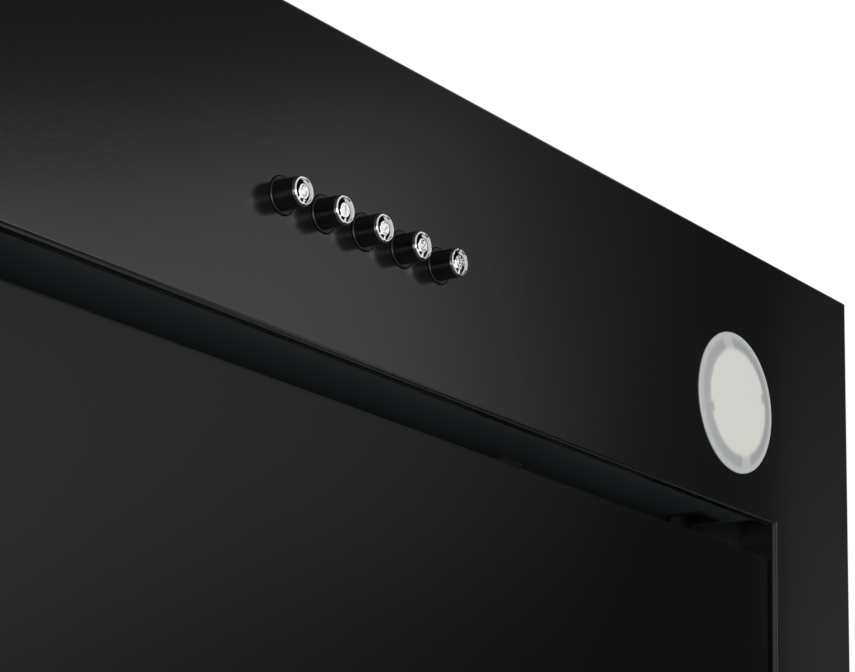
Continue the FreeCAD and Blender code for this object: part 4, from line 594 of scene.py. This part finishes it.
# The grey card stands beside the plate's right strip, which mirrors it, and gets lighter to the rear.
strip_card = stage_sheet("grey_strip_card", upright_sheet(0.36, (-0.3, 0.25), (-0.318, -0.262)), "#303030")
card_dark_y, card_pale_y = -0.2, -0.03
tree = strip_card.data.materials[0].node_tree
place = tree.nodes["Texture Coordinate"].outputs["Object"]
spot = add(tree, "ShaderNodeSeparateXYZ", {"Vector": place})
fade = add(tree, "ShaderNodeMapRange",
           {"Value": spot.outputs["Y"], "From Min": card_dark_y, "From Max": card_pale_y})
tint = add(tree, "ShaderNodeMix", {"Factor": fade.outputs["Result"], "A": linear("#303030"),
                                   "B": linear("#808080")}, data_type="RGBA")
tree.links.new(tint.outputs["Result"], tree.nodes["Principled BSDF"].inputs["Base Color"])
for card in (floor_card, side_card, strip_card):
    for ray in ("camera", "diffuse", "shadow", "transmission"):
        setattr(card, f"visible_{ray}", False)

# The surround is white to the eye and in mirror images, and lights the hood a little less.
world = bpy.data.worlds.new("studio_surround")
bpy.context.scene.world = world
world.use_nodes = True
tree = world.node_tree
surround = tree.nodes["Background"]
surround.inputs["Color"].default_value = (1.0, 1.0, 1.0, 1.0)
path = add(tree, "ShaderNodeLightPath")
seen = add(tree, "ShaderNodeMath", {0: path.outputs["Is Camera Ray"], 1: path.outputs["Is Glossy Ray"]},
           operation="MAXIMUM")
clear = add(tree, "ShaderNodeMath", {0: seen.outputs["Value"], 1: path.outputs["Is Transmission Ray"]},
            operation="MAXIMUM")
power = add(tree, "ShaderNodeMapRange", {"Value": clear.outputs["Value"], "To Min": 0.75, "To Max": 1.0})
tree.links.new(power.outputs["Result"], surround.inputs["Strength"])


def soft_box(name, spot, aim, wide, high, watts):
    """A lamp behind a flat diffuser, turned to the aim and out of the camera's sight."""
    lamp = bpy.data.lights.new(name, "AREA")
    lamp.shape = "RECTANGLE"
    lamp.size = wide
    lamp.size_y = high
    lamp.energy = watts
    box = bpy.data.objects.new(name, lamp)
    bpy.context.collection.objects.link(box)
    box.location = spot
    box.rotation_euler = (Vector(aim) - Vector(spot)).to_track_quat("-Z", "Y").to_euler()
    box.visible_camera = False


# Two boxes light the housing and the underside. The other three, which are weak, show as the sheen
# on the plate, on the left of the panel and along the opening's edge.
soft_box("top_box", (-1.6, -2.4, 2.2), (0, 0, -0.1), wide=3.2, high=3.2, watts=38)
soft_box("left_box", (-1.47, 0.33, -1.6), (0.05, -0.05, -0.25), wide=0.9, high=0.9, watts=18)
underside = (0.05, -0.07, -0.255)
soft_box("sheen_box", (2.067, -0.815, -2.479), underside, wide=0.68, high=1.23, watts=2.5)
soft_box("low_box", (1.68, -0.615, -2.68), underside, wide=0.8, high=0.7, watts=2.1)
soft_box("fill_box", (2.243, 0.316, -2.203), underside, wide=1.18, high=0.4, watts=1.4)


# Camera: below the hood and to its left, looking up at the plate's front right corner. Its lens,
# place and axes are fitted to the plate's edges, the opening, the buttons and the lamp in the photo.
eye = bpy.data.cameras.new("photo_view")
eye.lens = 107.35
eye.sensor_fit = "HORIZONTAL"
eye.sensor_width = 36.0
eye.clip_start = 0.02
eye.clip_end = 200.0
camera = bpy.data.objects.new("photo_view", eye)
bpy.context.collection.objects.link(camera)
right = Vector((0.59487, -0.03261, -0.80316))
up = Vector((-0.24569, -0.95874, -0.14304))
back = right.cross(up)
turn = Matrix((right, up, back)).transposed().to_4x4()
camera.matrix_world = Matrix.Translation((-0.54885, 0.14604, -0.69432)) @ turn
bpy.context.scene.camera = camera
bpy.context.scene.view_settings.view_transform = "Standard"
